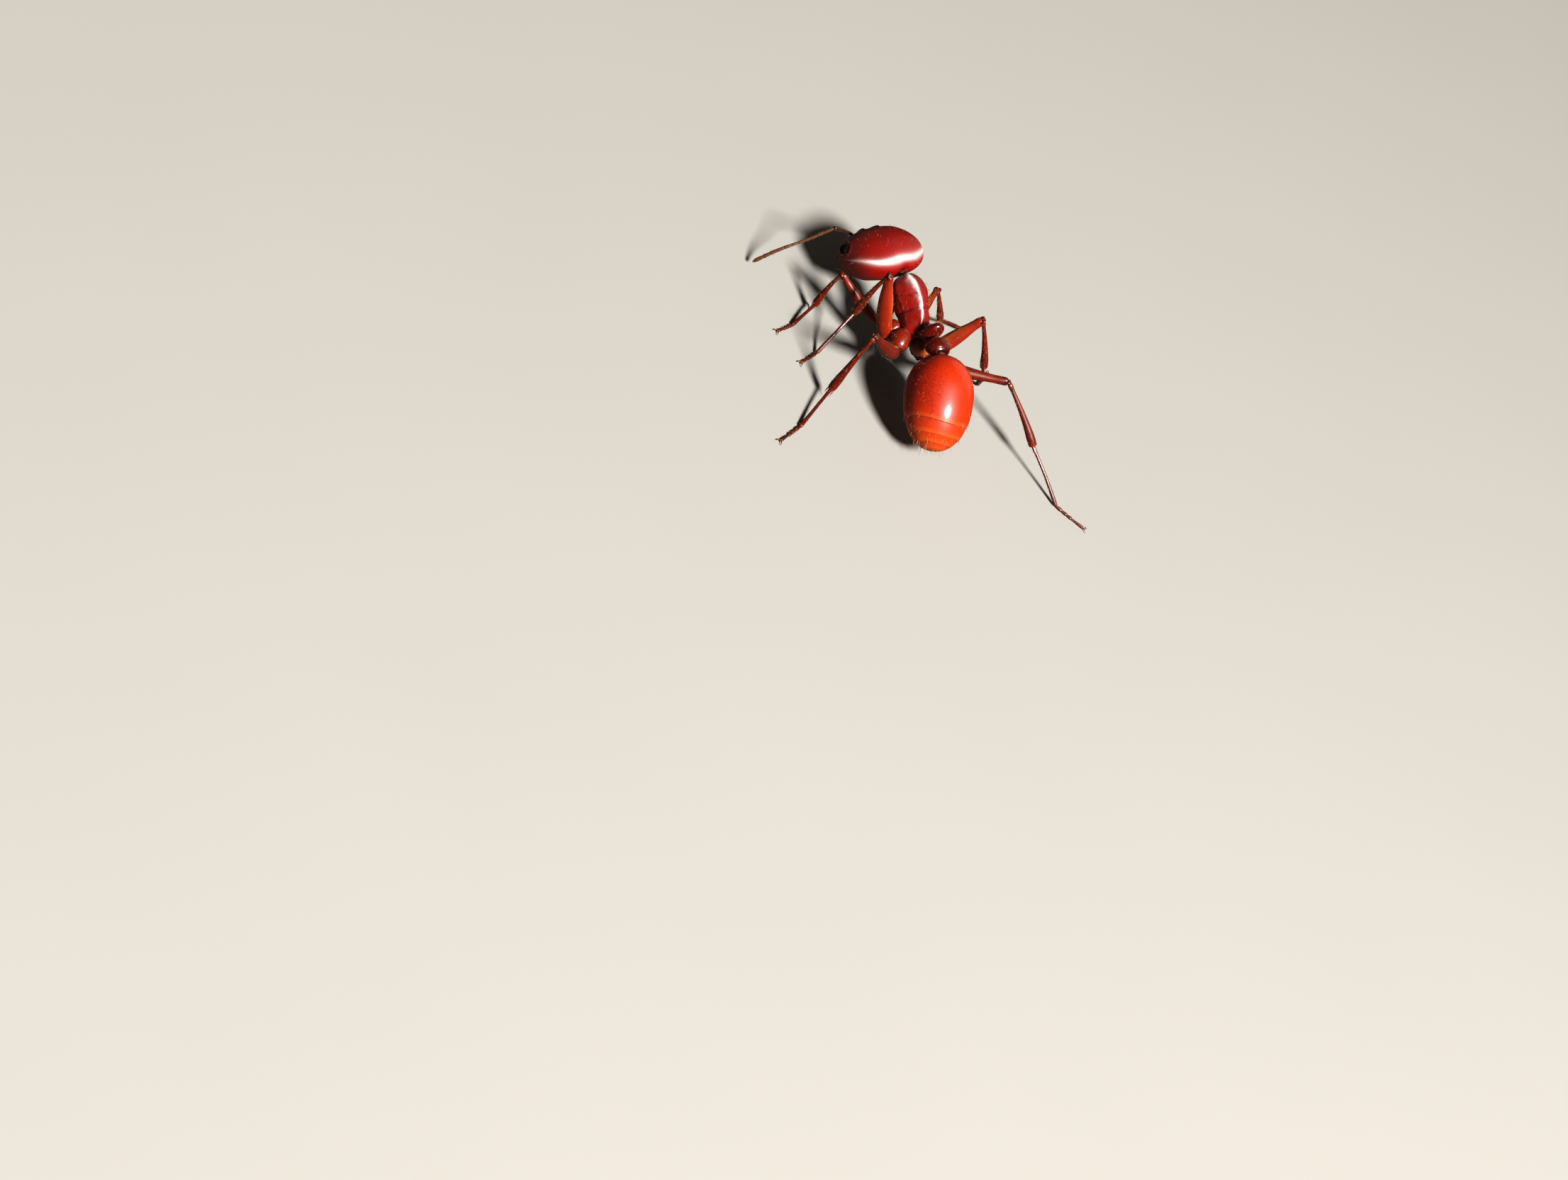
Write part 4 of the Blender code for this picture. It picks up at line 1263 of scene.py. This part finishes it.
class Coat:
    # Gathers hairs into one mesh. Each has its patch of the map at its root's place on the skin.
    def __init__(self, name, slot, tiles):
        self.name, self.slotName, self.tiles = name, slot, tiles
        self.points, self.faces, self.patches = [], [], []

    def hair(self, root, outward, lean, length, radius, tilt, bend, corner):
        # one tapered three-sided hair, leaning and curving one way
        rungs, corners, turn = 4, 3, draws.uniform(0, tau)
        side = outward.cross(lean).normalized()
        start, rows, place = radians(tilt), [], root - outward * radius * 1.5
        for k in range(rungs):
            angle = start + radians(bend) * k / rungs
            way = outward * cos(angle) + lean * sin(angle)
            upright = side.cross(way)
            girth = radius * (1 - (k / rungs) ** 2)
            rows.append([len(self.points) + j for j in range(corners)])
            self.points.extend(place + (side * cos(turn + tau * j / corners)
                               + upright * sin(turn + tau * j / corners)) * girth
                               for j in range(corners))
            place = place + way * length / rungs
        self.points.append(place)
        tip, patchSize = len(self.points) - 1, 0.003
        u, v = corner
        for k in range(rungs):
            base, top = v + patchSize * k / rungs, v + patchSize * (k + 1) / rungs
            for j in range(corners):
                near = (j + 1) % corners
                left, right = u + patchSize * j / corners, u + patchSize * (j + 1) / corners
                upper = (tip,) if k == rungs - 1 else (rows[k + 1][near], rows[k + 1][j])
                patch = ((left, base), (right, base), (right, top), (left, top))
                self.faces.append((rows[k][j], rows[k][near], *upper))
                self.patches.extend(patch[:2 + len(upper)])

    def strew(self, form, kind, tile, where=None, toward=None, count=None):
        # hairs spread evenly over a form; where thins them, and they lean toward a way or onward
        number, short, long, radius, tilt, bend = coats[kind]
        number = count or number
        low, size = tile / self.tiles + 0.002, 1 / self.tiles - 0.008
        sample = [form.stretch((i + 0.5) / 12, (j + 0.5) / 12) for i in range(12) for j in range(12)]
        widest, made, tries = max(sample) * 1.05, 0, 0
        while made < number and tries < number * 60:
            tries += 1
            along, around = draws.uniform(0.01, 0.99), draws.random()
            if draws.random() * widest > form.stretch(along, around):
                continue
            if where and draws.random() > where(along, around):
                continue
            root, outward, onward = form.spot(along, around)
            lean = onward if toward is None else toward
            lean = (lean - outward * lean.dot(outward)).normalized()
            stray = draws.gauss(0, 0.35)
            lean = lean * cos(stray) + outward.cross(lean) * sin(stray)
            self.hair(root, outward, lean, draws.uniform(short, long), radius,
                      tilt + draws.gauss(0, 10), bend + draws.gauss(0, 8),
                      (low + around * size, 0.002 + along * 0.99))
            made += 1
        return self

    def build(self):
        mesh = bpy.data.meshes.new(self.name)
        mesh.from_pydata([point * mm for point in self.points], [], self.faces)
        spread = mesh.uv_layers.new(name="OFBake")
        spread.data.foreach_set("uv", [value for pair in self.patches for value in pair])
        return settle(self.name, mesh, "bristle")


def facingUp(form, base, low, high):
    # A share that grows with how much the skin there faces up
    def share(along, around):
        return clamp((form.spot(along, around)[1].dot(base.up) - low) / (high - low))
    return share


def underHead(along, around):
    f, l, u = headLocal(along, around)
    return (u < -0.25) * (0.25 < f < 1.0) * min(1.0, abs(l) / 0.5)


def lipEdge(along, around):
    f, l, u = headLocal(along, around)
    return float(abs(l) < 0.55 and 0.98 < f < 1.12 and u > 0)


def buildCoats():
    headCoat = Coat("headHairs", "head", 3)
    headCoat.strew(headForm, "headHairs", 0, facingUp(headForm, head, -0.5, 0.2), head.forward)
    headCoat.build()

    beard = Coat("beard", "head", 2)
    beard.strew(headForm, "beard", 0, underHead, head.forward)
    beard.strew(headForm, "lipHairs", 1, lipEdge, head.forward)
    beard.build()

    trunkCoat, rearward = Coat("trunkHairs", "trunk", 3), -trunk.forward
    trunkCoat.strew(trunkForm, "trunkHairs", 0, facingUp(trunkForm, trunk, -0.3, 0.5), rearward)
    for k, form in enumerate(waistForms):
        trunkCoat.strew(form, "waistHairs", k + 1, facingUp(form, trunk, -0.4, 0.5), rearward)
    trunkCoat.build()

    gasterCoat, tailward = Coat("gasterHairs", "gaster", 5), -gaster.forward
    first, last = gasterShape["fringe"]
    for k, form in enumerate(gasterForms):
        gasterCoat.strew(form, "gasterHairs", k, lambda along, around: float(along < first),
                         tailward, gasterShape["hairs"][k])
        if k < 3:
            gasterCoat.strew(form, "plateFringe", k,
                             lambda along, around: float(first < along < last), tailward)
    gasterCoat.strew(gasterForms[-1], "tipHairs", 4, None, tailward)
    gasterCoat.build()

    for key, forms in legForms.items():
        legCoat = Coat("legHairs_" + key, "leg", 4)
        for k, (kind, part) in enumerate((("thighHairs", "femur"), ("shinHairs", "tibia"),
                                          ("heelHairs", "heel"), ("toeHairs", "toes"))):
            legCoat.strew(forms[part], kind, k)
        legCoat.strew(forms["coxa"], "thighHairs", 0, None, None, 36)
        legCoat.build()

    for sideName, (scapeForm, whipForm) in feelerForms.items():
        down = Coat("feelerDown_" + sideName, "feeler", 2)
        down.strew(whipForm, "feelerDown", 0)
        down.strew(scapeForm, "feelerDown", 1, None, None, 120)
        down.build()


buildCoats()
print("hairs made")


# The floor, the light and the camera

studio = {
    "floor": colour(0.230, 0.224, 0.213),
    "floorSize": 3000.0,
    "camera": (78.733, 60.1535, 69.695),
    "cameraUp": (0.072, -0.835, 0.545),
    "cameraAim": (-0.634, -0.460, -0.622),
    "lens": 89.84,
    "sensor": 36.0,
    # way to each lamp, its distance, size, power and colour
    "lamps": {"key": ((0.01, 0.66, 0.75), 260.0, 62.0, 2.40, (1.0, 0.965, 0.91)),
              "fill": ((-0.9, -0.4, 0.5), 300.0, 300.0, 0.10, (1.0, 0.93, 0.85))},
    "sky": (1.0, 0.88, 0.76), "skyStrength": 0.070,
}


def lookAt(made, aim, up):
    # -Z of a lamp or camera along the aim, +Y as near up as it gets
    back = -Vector(aim).normalized()
    right = Vector(up).cross(back).normalized()
    turn = Matrix((right, back.cross(right), back)).transposed()
    made.matrix_world = Matrix.Translation(made.location) @ turn.to_4x4()


def buildStudio():
    scene = bpy.context.scene
    finish = Finish("studioFloor")
    grain = finish.grain(9.0, 4.0)
    paint = finish.mix(grain, studio["floor"], colour(*[value * 0.97 for value in studio["floor"][:3]]))
    finish.surface({"Base Color": paint, "Roughness": grain * 0.1 + 0.8, "IOR": 1.12})
    half = studio["floorSize"] / 2 * mm
    mesh = bpy.data.meshes.new("studioFloor")
    corners = [(-half, -half, 0), (half, -half, 0), (half, half, 0), (-half, half, 0)]
    mesh.from_pydata(corners, [], [(0, 1, 2, 3)])
    mesh.materials.append(finish.material)
    floor = bpy.data.objects.new("studioFloor", mesh)
    scene.collection.objects.link(floor)
    floor.visible_glossy = False         # the shells keep their depth of colour

    middle = (solidBox[0] + solidBox[1]) / 2
    for name, (way, distance, size, power, tint) in studio["lamps"].items():
        lamp = bpy.data.lights.new(name + "Lamp", "AREA")
        lamp.shape, lamp.size, lamp.energy, lamp.color = "DISK", size * mm, power, tint
        made = bpy.data.objects.new(name + "Lamp", lamp)
        made.location = middle + Vector(way).normalized() * distance * mm
        lookAt(made, -Vector(way), (0, 0, 1))
        scene.collection.objects.link(made)

    world = bpy.data.worlds.new("studioSky")
    world.use_nodes = True
    sky = world.node_tree.nodes["Background"]
    sky.inputs["Color"].default_value = (*studio["sky"], 1.0)
    sky.inputs["Strength"].default_value = studio["skyStrength"]
    scene.world = world

    camera = bpy.data.cameras.new("camera")
    camera.lens, camera.sensor_width = studio["lens"], studio["sensor"]
    camera.clip_start, camera.clip_end = 1 * mm, 10.0
    made = bpy.data.objects.new("camera", camera)
    made.location = Vector(studio["camera"]) * mm
    lookAt(made, studio["cameraAim"], studio["cameraUp"])
    scene.collection.objects.link(made)
    scene.camera = made
    scene.view_settings.view_transform = "Standard"
    scene.view_settings.look = "Medium High Contrast"


buildStudio()
print("studio made")
